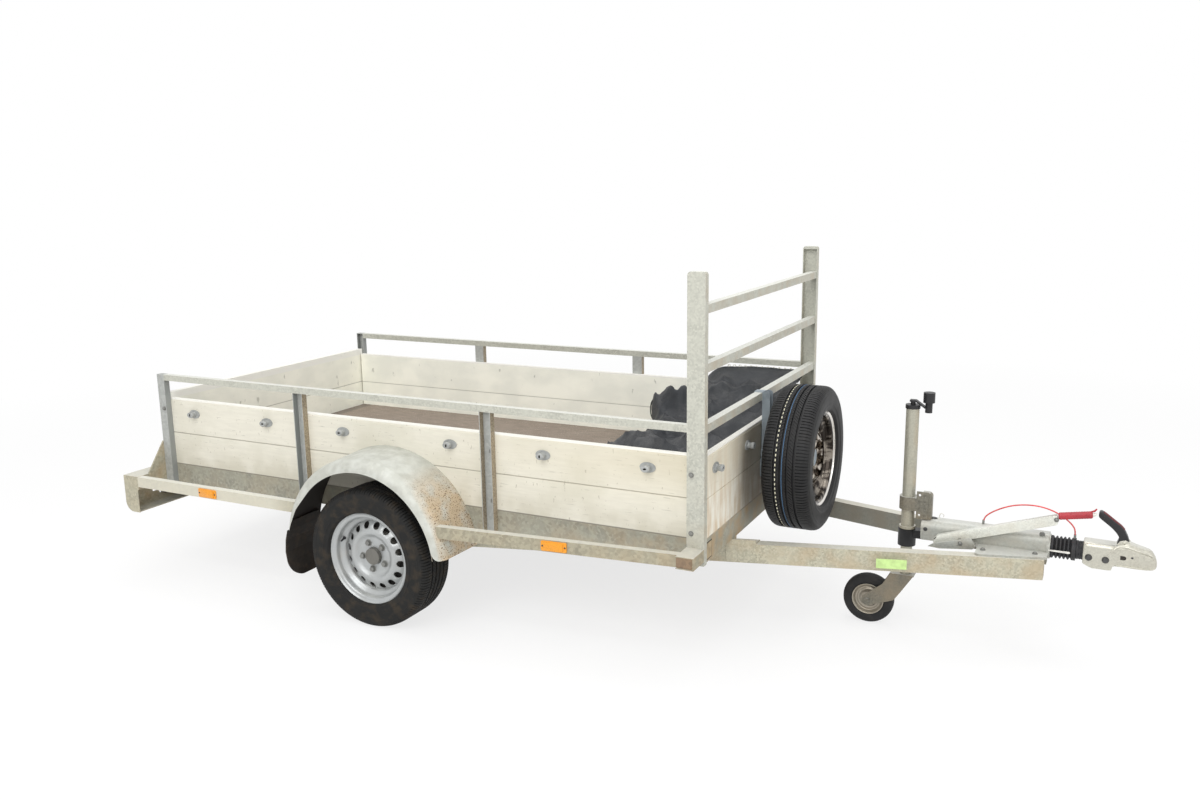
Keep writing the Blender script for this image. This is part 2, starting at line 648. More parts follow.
@dataclass
class Shape:
    """A mesh in the making: its points and the faces between them, in metres."""

    points: list[Vector] = field(default_factory=list)
    faces: list[tuple[int, ...]] = field(default_factory=list)

    def grid(self, rows: Sequence[Sequence[Vector]], ring: bool = False, loop: bool = False) -> "Shape":
        """Adds a sheet of four-sided faces over rows of points.

        Args:
            rows: Rows of points, each as long as the others.
            ring: Whether each row's last point meets its first.
            loop: Whether the last row meets the first.

        Returns:
            The shape.
        """
        start, count, width = len(self.points), len(rows), len(rows[0])
        self.points.extend(Vector(p) for row in rows for p in row)
        for i in range(count if loop else count - 1):
            for j in range(width if ring else width - 1):
                this, after = start + i * width, start + (i + 1) % count * width
                right = (j + 1) % width
                self.faces.append((this + j, this + right, after + right, after + j))
        return self

    def cap(self, rim: Sequence[Vector]) -> "Shape":
        """Adds one flat face.

        Args:
            rim: The points round it.

        Returns:
            The shape.
        """
        start = len(self.points)
        self.points.extend(Vector(p) for p in rim)
        self.faces.append(tuple(range(start, start + len(rim))))
        return self

    def closed(self, rows: Sequence[Sequence[Vector]]) -> "Shape":
        """Adds a sheet that goes round through rows of points, with a flat face at both ends."""
        return self.grid(rows, ring=True).cap(rows[0][::-1]).cap(rows[-1])

    def lathe(self, profile: Sequence[Pair], centre: Point, axis: Point, steps: int = 48) -> "Shape":
        """Turns a profile about an axis.

        Args:
            profile: Pairs of radius and distance along the axis, in millimetres. A radius of 0 closes the end.
            centre: A point on the axis, where the distance is 0.
            axis: The axis's direction.
            steps: How many faces go round.

        Returns:
            The shape.
        """
        turned = across(axis)
        rows = [[turned @ Vector((*polar(max(r, 1e-5), a), d)) for a in turns(steps)] for r, d in from_mm(profile)]
        return self.grid([[Vector(centre) + spot for spot in row] for row in rows], ring=True)

    def tube(self, path: Sequence[Point], radius: float, sides: int = 12) -> "Shape":
        """Adds a round bar along a path of points, closed at both ends.

        Args:
            path: The points of its centreline.
            radius: Its radius.
            sides: How many faces go round.

        Returns:
            The shape.
        """
        line = [Vector(p) for p in path]
        rows = []
        for middle, behind, ahead in zip(line, [line[0], *line], [*line[1:], line[-1]]):
            turned = across(ahead - behind)
            rows.append([middle + turned @ Vector((*polar(radius, a), 0)) for a in turns(sides)])
        return self.closed(rows)

    def prism(self, outline: Sequence[Point], depth: Point) -> "Shape":
        """Pushes a flat outline, its corners in order, out by a depth, closed at both ends, and returns the shape."""
        near = [Vector(p) for p in outline]
        return self.closed([near, [p + Vector(depth) for p in near]])

    def plate(self, middle: Point, level: Point, out: Point, size: Pair, corner: float, span: Pair,
              steps: int = 5) -> "Shape":
        """Adds an upright plate with rounded corners.

        Args:
            middle: The middle of the face that it lies on.
            level: The level direction along it.
            out: The direction away from that face.
            size: Its length and height.
            corner: The radius of its corners.
            span: Where it starts and ends in front of the face.
            steps: How many points each corner takes.

        Returns:
            The shape.
        """
        start, end = span
        x, y, z = (m + o * start for m, o in zip(middle, out))
        outline = [(x + level[0] * a, y + level[1] * a, z + b) for a, b in rounded(*size, corner, steps)]
        return self.prism(outline, Vector(out) * (end - start))

    def bolt(self, place: Point, axis: Point, across_flats: float, height: float) -> "Shape":
        """Adds a hexagonal bolt head on a washer, with a domed end.

        Args:
            place: Where it meets the surface.
            axis: Which way it stands out.
            across_flats: Its width, in millimetres.
            height: How far it stands out, in millimetres.

        Returns:
            The shape.
        """
        half = across_flats / 2
        self.lathe([(half * 1.5, 0), (half * 1.5, height * 0.18), (0, height * 0.19)], place, axis, 20)
        head = [(half * 1.15, height * 0.15), (half * 1.15, height * 0.8), (half * 0.95, height), (0, height)]
        return self.lathe(head, place, axis, 6)

    def rivet(self, place: Point, axis: Point, radius: float, height: float) -> "Shape":
        """Adds a domed rivet or screw head, sized in millimetres, and returns the shape."""
        dome = [(radius * math.cos(t), height * math.sin(t)) for t in (0, 0.4, 0.8, 1.2, math.pi / 2)]
        return self.lathe(dome, place, axis, 16)

    def make(self, name: str, coat: Coat, body: str = "chassis", bevel: float = 0.0,
             sharp: float = 38.0) -> bpy.types.Object:
        """Turns the shape into a piece that rides on a body.

        Args:
            name: The piece's name.
            coat: Its finish.
            body: The body it rides on.
            bevel: The width of its rounded edges.
            sharp: Edges that turn by more degrees than this stay sharp.

        Returns:
            The piece.
        """
        mesh = bpy.data.meshes.new(name)
        mesh.from_pydata([tuple(p) for p in self.points], [], self.faces)
        face_outwards(mesh)
        mesh.materials.append(coat.value.material())
        piece = placed(name, mesh)
        if bevel:
            edge = piece.modifiers.new("round", "BEVEL")
            edge.width, edge.segments, edge.limit_method = bevel, 2, "ANGLE"
            settle(piece)
        piece.data.shade_smooth()
        piece.data.set_sharp_from_angle(angle=math.radians(sharp))
        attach(piece, body)
        LOG.info("made %s", name)
        return piece


def face_outwards(mesh: bpy.types.Mesh) -> None:
    """Welds a mesh's doubled points and turns its faces to look outwards.

    Args:
        mesh: The mesh.
    """
    work = bmesh.new()
    work.from_mesh(mesh)
    bmesh.ops.remove_doubles(work, verts=work.verts, dist=0.00003)
    bmesh.ops.recalc_face_normals(work, faces=work.faces)
    work.to_mesh(mesh)
    work.free()


def settle(piece: bpy.types.Object) -> None:
    """Applies a piece's modifiers to its mesh and removes them.

    Args:
        piece: The piece.
    """
    graph = bpy.context.evaluated_depsgraph_get()
    mesh = bpy.data.meshes.new_from_object(piece.evaluated_get(graph))
    piece.modifiers.clear()
    piece.data = mesh


def polar(radius: float, angle: float) -> Pair:
    """Gives the two coordinates of a point from its distance and its angle in radians."""
    return radius * math.cos(angle), radius * math.sin(angle)


def rounded(width: float, height: float, corner: float, steps: int = 5) -> list[Pair]:
    """Lists the corners of a rectangle with rounded corners, about its middle.

    Args:
        width: Its width.
        height: Its height.
        corner: The radius of its corners.
        steps: How many points each corner takes.

    Returns:
        Pairs of numbers, in order round it.
    """
    out = []
    for sx, sy, start in ((1, 1, 0), (-1, 1, 90), (-1, -1, 180), (1, -1, 270)):
        for x, y in (polar(corner, a) for a in arc(steps, start, start + 90)):
            out.append((sx * (width / 2 - corner) + x, sy * (height / 2 - corner) + y))
    return out


def turns(count: int) -> list[float]:
    """Gives this many angles, evenly spaced round a circle."""
    return [2 * math.pi * i / count for i in range(count)]


def across(axis: Point) -> Matrix:
    """Gives a rotation that takes +Z to an axis."""
    return Vector(axis).normalized().to_track_quat("Z", "Y").to_matrix()


def arc(points: int, start: float, end: float) -> list[float]:
    """Gives this many angles in radians from one angle in degrees to another, ends included."""
    return [math.radians(start + (end - start) * i / (points - 1)) for i in range(points)]


def spaced(low: float, high: float, count: int) -> list[float]:
    """Gives this many numbers from one to another, ends included."""
    return [low + (high - low) * i / (count - 1) for i in range(count)]


# -------- camera and studio


@dataclass
class Camera:
    """The camera: where it stands and how it is turned, in degrees."""

    place: Point = (fore(2.566046), -3.92817, 1.710098)
    yaw: float = 26.752384
    pitch: float = -11.776201
    roll: float = -0.821514
    lens: float = 31.489
    sensor: float = 36.0

    def build(self) -> None:
        """Makes the camera and sets it as the scene's own."""
        yaw, pitch, roll = (math.radians(angle) for angle in (self.yaw, self.pitch, self.roll))
        level = Vector((*polar(1, yaw), 0))
        ahead = Vector((-level.y, level.x, 0)) * math.cos(pitch) + UP * math.sin(pitch)
        upward = level.cross(ahead)
        right = level * math.cos(roll) + upward * math.sin(roll)
        up = upward * math.cos(roll) - level * math.sin(roll)
        data = bpy.data.cameras.new("camera")
        data.lens, data.sensor_width, data.sensor_fit = self.lens, self.sensor, "HORIZONTAL"
        data.clip_end = 200
        camera = placed("camera", data)
        camera.matrix_world = Matrix((right, up, -ahead)).transposed().to_4x4()
        camera.matrix_world.translation = self.place
        bpy.context.scene.camera = camera
        LOG.info("camera at %s", self.place)


@dataclass
class Studio:
    """A pale floor, a white surround and large soft lamps."""

    floor_half: float = 30.0
    floor_colour: Colour = (0.94, 0.94, 0.94)
    surround: float = 0.55
    whitening: float = 0.76
    fade: Pair = (2.6, 6.5)  # distances between which the floor turns wholly white to the eye
    # name, place, power in watts, side in metres
    lamps: tuple[tuple[str, Point, float, float], ...] = (
        ("key", (0.6, -7.0, 6.0), 400.0, 6.0),
        ("overhead", (-0.6, 0.5, 7.0), 230.0, 7.0),
        ("fill", (7.0, -1.5, 3.5), 110.0, 4.0),
    )
    target: Point = (0.2, 0, 0.5)  # what the lamps look at

    EYES = ("Camera", "Glossy", "Transmission")  # rays that see a surface as the eye does

    def seen_directly(self, board: NodeBoard) -> Socket:
        """Gives 1 where the eye, a reflection or a clear material sees a surface."""
        ray = board.add("LightPath").outputs
        return reduce(partial(board.sum, "MAXIMUM"), [ray[f"Is {kind} Ray"] for kind in self.EYES])

    def build(self) -> None:
        """Makes the floor, the surround and the lamps."""
        self.build_floor()
        self.build_surround()
        for name, place, power, side in self.lamps:
            data = bpy.data.lights.new(name, "AREA")
            data.energy, data.size = power, side
            lamp = placed(name, data)
            lamp.location = place
            lamp.rotation_euler = (Vector(place) - Vector(self.target)).to_track_quat("Z", "Y").to_euler()
        bpy.context.scene.view_settings.view_transform = "Standard"
        LOG.info("studio with %d lamps", len(self.lamps))

    def build_floor(self) -> None:
        """Makes the floor, which keeps the trailer's shadow and is nearly white to the eye."""
        mesh = bpy.data.meshes.new("floor")
        half = self.floor_half
        mesh.from_pydata([(-half, -half, 0), (half, -half, 0), (half, half, 0), (-half, half, 0)], [], [(0, 1, 2, 3)])
        floor = placed("floor", mesh)
        material = bpy.data.materials.new("floor_white")
        mesh.materials.append(material)
        board = NodeBoard(material)
        reach = board.add("VectorMath", {0: board.coordinates["Object"]}, operation="LENGTH").outputs["Value"]
        white = board.times(self.seen_directly(board), board.spread(reach, *self.fade, (self.whitening, 1)))
        matt = board.add("BsdfDiffuse", {"Color": self.floor_colour}).outputs[0]
        shown = board.add("MixShader", {0: white, 1: matt, 2: board.add("Emission").outputs[0]})
        board.add("OutputMaterial", {"Surface": shown.outputs[0]})

    def build_surround(self) -> None:
        """Makes the world: white to the eye, and a plain soft light on the trailer."""
        world = bpy.data.worlds.new("surround")
        bpy.context.scene.world = world
        board = NodeBoard(world)
        strength = board.spread(self.seen_directly(board), 0, 1, (self.surround, 1))
        sky = board.add("Background", {"Color": (1, 1, 1), "Strength": strength})
        board.add("OutputWorld", {"Surface": sky.outputs[0]})


# -------- breakaway cable


@dataclass
class BreakawayCable:
    """The thin red cable from the brake housing over to the handbrake's grip and down to the coupling."""

    # x in front of the axle, y and z of the route's points, in millimetres
    route: tuple[Point, ...] = (
        (2470, 0, 442.5), (2470, 0, 460), (2468, -18, 484), (2454, -36, 508), (2428, -41, 530),
        (2392, -41, 548), (2348, -41, 558), (2302, -36, 556), (2256, -26, 544), (2214, -12, 522),
        (2178, 0, 496), (2160, 5, 474), (2160, 5, 452.5),
    )
    diameter: float = 0.005
    length: float = 0.438
    ferrule: Pair = (4.2, 16)  # radius and length, in millimetres

    def build(self) -> None:
        """Makes the cable, and the crimped ferrule at each of its ends."""
        points = [(fore(x * MILLIMETRE), y * MILLIMETRE, z * MILLIMETRE) for x, y, z in self.route]
        curve = bpy.data.curves.new("red_cable", "CURVE")
        curve.dimensions, curve.bevel_depth, curve.bevel_resolution = "3D", self.diameter / 2, 4
        spline = curve.splines.new("NURBS")
        spline.points.add(len(points) - 1)
        for control, point in zip(spline.points, points):
            control.co = (*point, 1)
        spline.order_u, spline.use_endpoint_u, spline.resolution_u = 3, True, 10
        curve.use_fill_caps = True
        curve.materials.append(Coat.RED_CORD.value.material())
        cable = placed("red_cable", curve)
        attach(cable, "chassis")
        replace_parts(cable, "breakaway_cable")
        ends = Shape()
        r, h = self.ferrule
        for x, y, z in (points[0], points[-1]):
            ends.lathe([(0, 0), (r, 0), (r, h * 0.8), (r * 0.75, h), (0, h)], (x, y, z), UP, 16)
        crimps = ends.make("cable_ferrules", Coat.BOLT)
        LOG.info("made red_cable")


# -------- wheels


@dataclass(frozen=True)
class Axis:
    """Where a wheel turns: its middle, two directions across and the direction inwards."""

    centre: Vector
    ahead: Vector
    upward: Vector
    inward: Vector

    def at(self, radius: float, angle: float, depth: float) -> Vector:
        """Gives a point from its distance to the axis, its angle in radians and its depth inwards from the centre."""
        ahead, upward = polar(radius, angle)
        return self.centre + self.ahead * ahead + self.upward * upward + self.inward * depth

    def rings(self, profile: Sequence[Pair], steps: int, turn: float = 0.0, lift: float = 0.0) -> list[list[Vector]]:
        """Turns a profile of radius and depth about the wheel's axis, pushed inwards by the lift."""
        return [[self.at(r, a + turn, d + lift) for a in turns(steps)] for r, d in profile]


def smooth_run(knots: Sequence[tuple[float, ...]], pieces: int = 4) -> list[tuple[float, ...]]:
    """Runs a soft curve through points of two or three numbers.

    Args:
        knots: The points that the curve passes through.
        pieces: How many steps lie between two of them.

    Returns:
        The curve's points, the knots included.
    """
    padded = [knots[0], *knots, knots[-1]]
    out = []
    for a, b, c, d in zip(padded, padded[1:], padded[2:], padded[3:]):
        for step in range(pieces):
            t = step / pieces
            out.append(tuple(
                0.5 * (2 * q + (r - p) * t + (2 * p - 5 * q + 4 * r - s) * t * t + (3 * q - p - 3 * r + s) * t ** 3)
                for p, q, r, s in zip(a, b, c, d)
            ))
    return [*out, tuple(knots[-1])]


def read_off(curve: Sequence[Pair], place: float) -> float:
    """Reads a height off a line drawn through pairs of place and height.

    Args:
        curve: The pairs, by growing place.
        place: Where to read.

    Returns:
        The height there, or the last one past the end.
    """
    for (x0, y0), (x1, y1) in zip(curve, curve[1:]):
        if place <= x1:
            return y0 + (y1 - y0) * (place - x0) / (x1 - x0)
    return curve[-1][1]


@dataclass
class Tyre:
    """A road tyre: ribbed side walls, four grooves round it, and slots and sipes across its ribs."""

    name: str
    axis: Axis  # centre on the rim's outer flange
    coat: Coat
    body: str
    radius: float = 0.28
    half: float = 0.0925
    middle: float = 0.075  # rim's outer flange back to the tyre's middle plane
    grooves: tuple[float, ...] = (0.012, 0.037)
    groove_half: float = 0.0042
    groove_depth: float = 0.007
    ledge: float = 0.0008  # width of a groove's sloping side
    # how far inside each groove the rows of its rib lie, from the outer groove inwards, and their slots' depth
    ribs: tuple[Point, ...] = ((0.001, 0.0075, 0.014), (0.001, 0.0025, 0.004))
    rib_slot: float = 0.0032
    pitches: int = 72
    lean: float = 0.9  # how much a sipe leans round the tyre for each metre across
    lean_end: float = 0.041  # distance from the middle plane where it stops leaning

    # places round one pitch, and the share of a slot's depth that is cut there: first a slot, then a thin sipe
    PITCH = ((0.0, 0), (0.03, 1), (0.12, 1), (0.15, 0), (0.5, 0), (0.53, 0.7), (0.585, 0.7), (0.615, 0))
    # side wall from the shoulder down to the bead: radius and distance from the middle plane, in millimetres
    WALL = (
        (262, 88.0), (258, 89.3), (254, 90.2), (251, 90.7), (250, 91.5), (247, 91.8), (246, 91.3), (238, 92.2),
        (228, 92.5), (219, 92.0), (213, 91.2), (212, 91.9), (209, 91.6), (208, 90.7), (200, 88.6), (195, 87.4),
        (191.5, 86.9), (188.5, 83.5), (185.5, 77.0), (183.0, 72.0), (168, 65.0),
    )
    # tread from the shoulder inwards: distance from the middle plane and how deep a slot is there, in millimetres
    SHOULDER = ((86, 2.5), (82.5, 4.5), (78.6, 5), (74, 5), (68.5, 5), (60, 5), (52, 5), (46, 4.5), (44.5, 0))

    def crown(self, width: float) -> float:
        """Gives the tread's radius at a distance from the middle plane."""
        return self.radius - 0.015 * (max(0.0, abs(width) - 0.04) / 0.046) ** 5

    def rows(self) -> list[Point]:
        """Lists the rows across one half of the tyre.

        Returns:
            Each row's distance from the middle, radius and slot depth.
        """
        rows = [(w, r, 0.0) for r, w in from_mm(self.WALL[::-1])]
        rows += [(w, self.crown(w), deep) for w, deep in from_mm(self.SHOULDER)]
        for groove, rib in zip(reversed(self.grooves), self.ribs):
            outer, inner = groove + self.groove_half, groove - self.groove_half
            for width, drop in ((outer, 0), (outer - self.ledge, 1), (inner + self.ledge, 1), (inner, 0)):
                rows.append((width, self.crown(width) - drop * self.groove_depth, 0.0))
            rows += [(inner - step, self.crown(inner), self.rib_slot) for step in rib]
        return rows

    def build(self) -> None:
        """Makes the tyre and hides the solid tyre behind it."""
        half = self.rows()
        pitch = 2 * math.pi / self.pitches
        rows = []
        for width, radius, slot in [(-w, r, s) for w, r, s in half] + half[::-1]:
            lean = self.lean * min(abs(width), self.lean_end) / self.radius + (pitch / 2 if width > 0 else 0)
            rows.append([self.axis.at(radius - slot * cut, (i + share) * pitch + lean, self.middle + width)
                         for i in range(self.pitches) for share, cut in self.PITCH])
        piece = Shape().grid(rows, ring=True, loop=True).make(self.name + "_tread", self.coat, self.body, sharp=32)
        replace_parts(piece, self.name)


class Vent(Enum):
    """The shape of the holes through a rim's disc: half length across the spoke and along it, in metres."""

    ROUND = (0.0136, 0.0138)
    WINDOW = (0.0165, 0.0245)


@dataclass
class Rim:
    """A pressed steel rim: a rolled barrel, and a disc with a ring of holes."""

    name: str
    axis: Axis  # centre on the outer flange
    coat: Coat
    body: str
    vent: Vent = Vent.ROUND
    vents: int = 16
    vent_circle: float = 0.1252
    vent_turn: float = 14.5  # degrees
    band: Pair = (0.1088, 0.142)
    sheet: float = 0.004
    arc_steps: int = 6
    side_steps: int = 4

    # barrel from the disc out to the flange and back over the outer side: radius and depth, in millimetres
    BARREL = (
        (142, 56), (142.2, 47), (144, 42), (150, 37), (157, 33), (161, 29), (162.5, 24), (163.5, 14), (165.5, 9),
        (170, 6.2), (175, 5.2), (178.5, 3.6), (180.3, 1.0), (182.2, -0.6), (184.2, 0.4), (184.6, 2.8), (183, 4.4),
        (179.5, 7.5), (172, 9.5), (168, 14), (165, 30), (146, 44), (146, 88), (165, 102), (168, 140), (182, 146),
        (182, 150), (178, 150), (164, 143), (161, 104), (142, 90), (142, 56),
    )
    # disc's front face from the bore outwards
    DISC = (
        (33.3, 43.5), (36, 42), (46, 41.8), (62, 41.8), (70, 42), (76, 41), (83, 37), (90, 31.5), (97, 29.5),
        (103, 29.9), (108.8, 32.2),
    )
    SLOPE = ((0.1088, 0.0322), (0.127, 0.0412), (0.142, 0.0535))

    def slope(self, radius: float) -> float:
        """Gives the depth of the disc's face in the ring of holes."""
        return read_off(self.SLOPE, radius)

    def rim_of_sector(self, start: float, sweep: float) -> list[Pair]:
        """Lists radius and angle round one sector's edge, from its inner left corner.

        Args:
            start: The sector's first angle, in radians.
            sweep: The sector's width, in radians.

        Returns:
            Pairs of radius and angle.
        """
        low, high = self.band
        end = start + sweep
        corners = ((low, start), (low, end), (high, end), (high, start))
        out = []
        for count, (r, a), (s, b) in zip((self.arc_steps, self.side_steps) * 2, corners, corners[1:] + corners[:1]):
            out += [(r + (s - r) * i / count, a + (b - a) * i / count) for i in range(count)]
        return out

    def hole_ring(self, shape: Shape) -> None:
        """Adds the ring of the disc that has the holes, front, back and the holes' walls.

        Args:
            shape: The shape that takes the ring.
        """
        sweep = 2 * math.pi / self.vents
        wide, tall = self.vent.value
        for number in range(self.vents):
            middle = math.radians(self.vent_turn) + number * sweep
            edge = self.rim_of_sector(middle - sweep / 2, sweep)
            turned = [math.atan2(r - self.vent_circle, (a - middle) * self.vent_circle) for r, a in edge]
            levels = [[self.axis.at(r, a, self.slope(r)) for r, a in edge]]
            for swell, drop in ((1.05, 0.0), (1.02, 0.0004), (1.0, 0.0016), (1.0, self.sheet), (1.05, self.sheet)):
                ring = []
                for t in turned:
                    radius = self.vent_circle + tall * swell * math.sin(t)
                    depth = self.slope(min(max(radius, self.band[0]), self.band[1])) + drop
                    ring.append(self.axis.at(radius, middle + wide * swell * math.cos(t) / self.vent_circle, depth))
                levels.append(ring)
            levels.append([self.axis.at(r, a, self.slope(r) + self.sheet) for r, a in edge])
            shape.grid(levels, ring=True)

    def build(self) -> None:
        """Makes the rim and hides the solid rim behind it."""
        steps = self.vents * self.arc_steps
        shape = Shape().grid(self.axis.rings(from_mm(self.BARREL), steps), ring=True)
        self.hole_ring(shape)
        turn = math.radians(self.vent_turn) + math.pi / self.vents
        face = smooth_run(from_mm(self.DISC), 3)
        for lift in (0.0, self.sheet):
            shape.grid(self.axis.rings(face, steps, turn, lift), ring=True)
        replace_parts(shape.make(self.name + "_pressing", self.coat, self.body, sharp=42), self.name)


@dataclass
class RoadWheel:
    """A road wheel: tyre, rim, wheel bolts, hub cap and valve."""

    side: int
    centre_z: float = 0.28
    rim_plane: float = 0.87
    bolts: int = 5
    bolt_circle: float = 0.056
    first_bolt: float = 44.0  # degrees
    bolt_flats: float = 19.0
    bolt_height: float = 14.0
    disc_depth: float = 0.042
    valve_angle: float = 159.0
    valve: tuple[Pair, Pair] = ((0.1525, 0.0375), (0.143, 0.006))  # radius and depth of its foot and tip

    # radius and height of a bolt's seat, of the hub cap and of the valve, in millimetres
    SEAT = ((15.5, 0), (15, 1.4), (11.8, 1.6), (10.5, -1))
    CAP = ((33.1, 0), (33.1, 14), (31.1, 16.5), (27.1, 17), (25.6, 15), (12, 14.5),
           (10, 13.5), (0, 13.3))
    VALVE = ((7.5, 0), (7.2, 3), (4.5, 7), (4.2, 20), (3.6, 22), (3.6, 30),
             (2.8, 32.5), (0, 33))
    # radius and depth of the dark flange behind the rim's holes, in millimetres
    SHIELD = ((98, 60), (136.5, 60), (137.5, 64), (136.5, 68), (98, 68), (98, 60))

    def build(self) -> None:
        """Makes every piece of the wheel."""
        word = "left" if self.side > 0 else "right"
        body = f"wheel_{word}"
        out = Vector((0, self.side, 0))
        centre = Vector((AXLE_X, self.side * self.rim_plane, self.centre_z))
        axis = Axis(centre, AHEAD, UP, -out)
        Tyre(f"tyre_{word}", axis, Coat.TYRE, body).build()
        Rim(f"rim_{word}", axis, Coat.SILVER, body).build()
        bolts, seats = Shape(), Shape()
        for i in range(self.bolts):
            angle = math.radians(self.first_bolt) + 2 * math.pi * i / self.bolts
            place = axis.at(self.bolt_circle, angle, self.disc_depth)
            seats.lathe(self.SEAT, place, out, 24)
            bolts.bolt(place, out, self.bolt_flats, self.bolt_height)
        seats.make(f"bolt_seats_{word}", Coat.SILVER, body)
        bolts.make(f"wheel_bolts_{word}", Coat.BOLT, body, bevel=0.0006)
        dome = Shape().lathe(self.CAP, axis.at(0, 0, self.disc_depth + 0.001), out, 48)
        dome.make(f"hub_cap_{word}", Coat.CAP, body, bevel=0.0005)
        shield = Shape().lathe(self.SHIELD, centre, -out, 64)
        shield.make(f"drum_flange_{word}", Coat.SHIELD, body)
        foot, tip = (axis.at(r, math.radians(self.valve_angle), depth) for r, depth in self.valve)
        Shape().lathe(self.VALVE, foot, tip - foot, 20).make(f"tyre_valve_{word}", Coat.RUBBER, body)
        dress(Coat.CAP, f"drum_{word}")


@dataclass(frozen=True)
class TreadMark:
    """A painted line, or a row of dashes, on a rib of the spare tyre's tread."""

    name: str
    coat: Coat
    offset: float  # from the tyre's middle plane, towards the outside when positive
    half: float  # half its width
    count: int = 1  # dashes round the tyre
    share: float = 1.0  # how much of each step round is painted
    thick: float = 0.0003
    steps: int = 240  # steps round the tyre

    def build(self, tyre: Tyre) -> None:
        """Makes the mark on a tyre.

        Args:
            tyre: The tyre.
        """
        shape = Shape()
        radius = tyre.crown(abs(self.offset)) + 0.0001
        near, far = (tyre.middle - self.offset + side * self.half for side in SIDES)
        sweep = 2 * math.pi / self.count
        profile = ((radius, near), (radius + self.thick, near), (radius + self.thick, far), (radius, far))
        for i in range(self.count):
            angles = spaced(i * sweep, (i + self.share) * sweep, max(2, self.steps // self.count))
            shape.grid([[tyre.axis.at(r, a, d) for a in angles] for r, d in profile], loop=True)
        shape.make(self.name, self.coat)


@dataclass
class SpareWheel:
    """The spare wheel in front of the bed, with the marks round its tread."""

    centre: Point = (fore(1.57), -0.05, 0.652)
    marks: tuple[TreadMark, ...] = (
        TreadMark("tread_dashes", Coat.YELLOW_MARK, -0.0308, 0.0016, 96, 0.5),
        TreadMark("tread_line", Coat.BLUE_MARK, -0.0062, 0.0013),
    )

    def build(self) -> None:
        """Makes every piece of the spare wheel."""
        axis = Axis(Vector(self.centre), LEFT, UP, -AHEAD)
        tyre = Tyre("spare_tyre", axis, Coat.SPARE_TYRE, "chassis")
        tyre.build()
        Rim("spare_rim", axis, Coat.POLISHED, "chassis", Vent.WINDOW, 10, 0.106, 0.0, (0.0765, 0.136)).build()
        for mark in self.marks:
            mark.build(tyre)


# -------- bodywork


@dataclass
class TieKnobs:
    """The tie-down knobs: an oval plate, a neck and a thick oval head with a sunk eye."""

    side_places: tuple[float, ...] = (-1.09, -0.665, -0.252, 0.273, 0.686, 1.109)
    front_places: tuple[float, ...] = (-0.575, -0.23, 0.23, 0.575)
    # how far each eye is turned from upright, in degrees, in the order of the places
    side_turns: tuple[float, ...] = (8, 84, 80, 12, 5, 74)
    front_turns: tuple[float, ...] = (70, 15, 80, 10)
    wall_y: float = 0.672
    front_x: float = fore(1.325)
    height: float = 0.723
    plate: Point = (0.062, 0.038, 0.004)
    head: Pair = (0.034, 0.025)
    eye: Pair = (0.013, 0.0068)
    points: int = 32
    metal: Shape = field(default_factory=Shape)
    pits: Shape = field(default_factory=Shape)

    # share of the head's size and distance from the wall, from the head's back to the eye's brim
    HEAD = ((0.5, 0.0138), (0.86, 0.014), (0.96, 0.0156), (1.0, 0.019), (1.0, 0.0252), (0.955, 0.0284),
            (0.86, 0.0298))
    EYE = ((1.25, 0.03), (1.05, 0.0296), (1.0, 0.0288))
    PIT = ((1.0, 0.0288), (0.94, 0.022))
    NECK = ((12.5, 4), (9.8, 8), (9.2, 13.9))  # radius and distance from the wall, in millimetres

    def oval(self, size: Pair, scale: float, turn: float = 0.0) -> list[Pair]:
        """Lists the points of an oval of this length and height, scaled, then turned by an angle in radians."""
        reach = {a: math.hypot(math.cos(a - turn) / size[0], math.sin(a - turn) / size[1]) for a in turns(self.points)}
        return [polar(scale / (2 * inverse), a) for a, inverse in reach.items()]

    def knob(self, place: Vector, out: Vector, along: Vector, turn: float) -> None:
        """Adds one knob and the dark inside of its eye.

        Args:
            place: The middle of its plate, on the wall.
            out: The direction away from the wall.
            along: The level direction along the wall.
            turn: How far its eye is turned from upright, in degrees.
        """
        def ring(size: Pair, scale: float, lift: float, lean: float = 0.0) -> list[Vector]:
            """Puts an oval's points at a distance from the wall."""
            return [place + along * x + UP * z + out * lift for x, z in self.oval(size, scale, lean)]

        width, height, thick = self.plate
        for scale, start, end in ((1.0, 0.0, thick * 0.6), (0.94, thick * 0.6, thick)):
            self.metal.prism(ring((width, height), scale, start), out * (end - start))
        self.metal.lathe(self.NECK, place, out, 20)
        for x in (-width * 0.37, width * 0.37):
            self.metal.rivet(place + along * x + out * thick, out, 3.2, 1.6)
        angle = math.radians(90 - turn)
        head = [ring(self.head, scale, lift) for scale, lift in self.HEAD]
        self.metal.grid(head + [ring(self.eye, scale, lift, angle) for scale, lift in self.EYE], ring=True)
        pit = [ring(self.eye, scale, lift, angle) for scale, lift in self.PIT]
        self.pits.grid(pit, ring=True).cap(pit[-1])

    def build(self) -> None:
        """Makes all sixteen knobs, and the dark insides of their eyes."""
        for side in SIDES:
            for x, turn in zip(self.side_places, self.side_turns):
                self.knob(at(x, side * self.wall_y, self.height), LEFT * side, AHEAD, turn)
        for y, turn in zip(self.front_places, self.front_turns):
            self.knob(Vector((self.front_x, y, self.height)), AHEAD, LEFT, turn)
        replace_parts(self.metal.make("tie_down_knobs", Coat.KNOB, sharp=50), "tie_knobs")
        self.pits.make("tie_down_eyes", Coat.DUST_LINE)


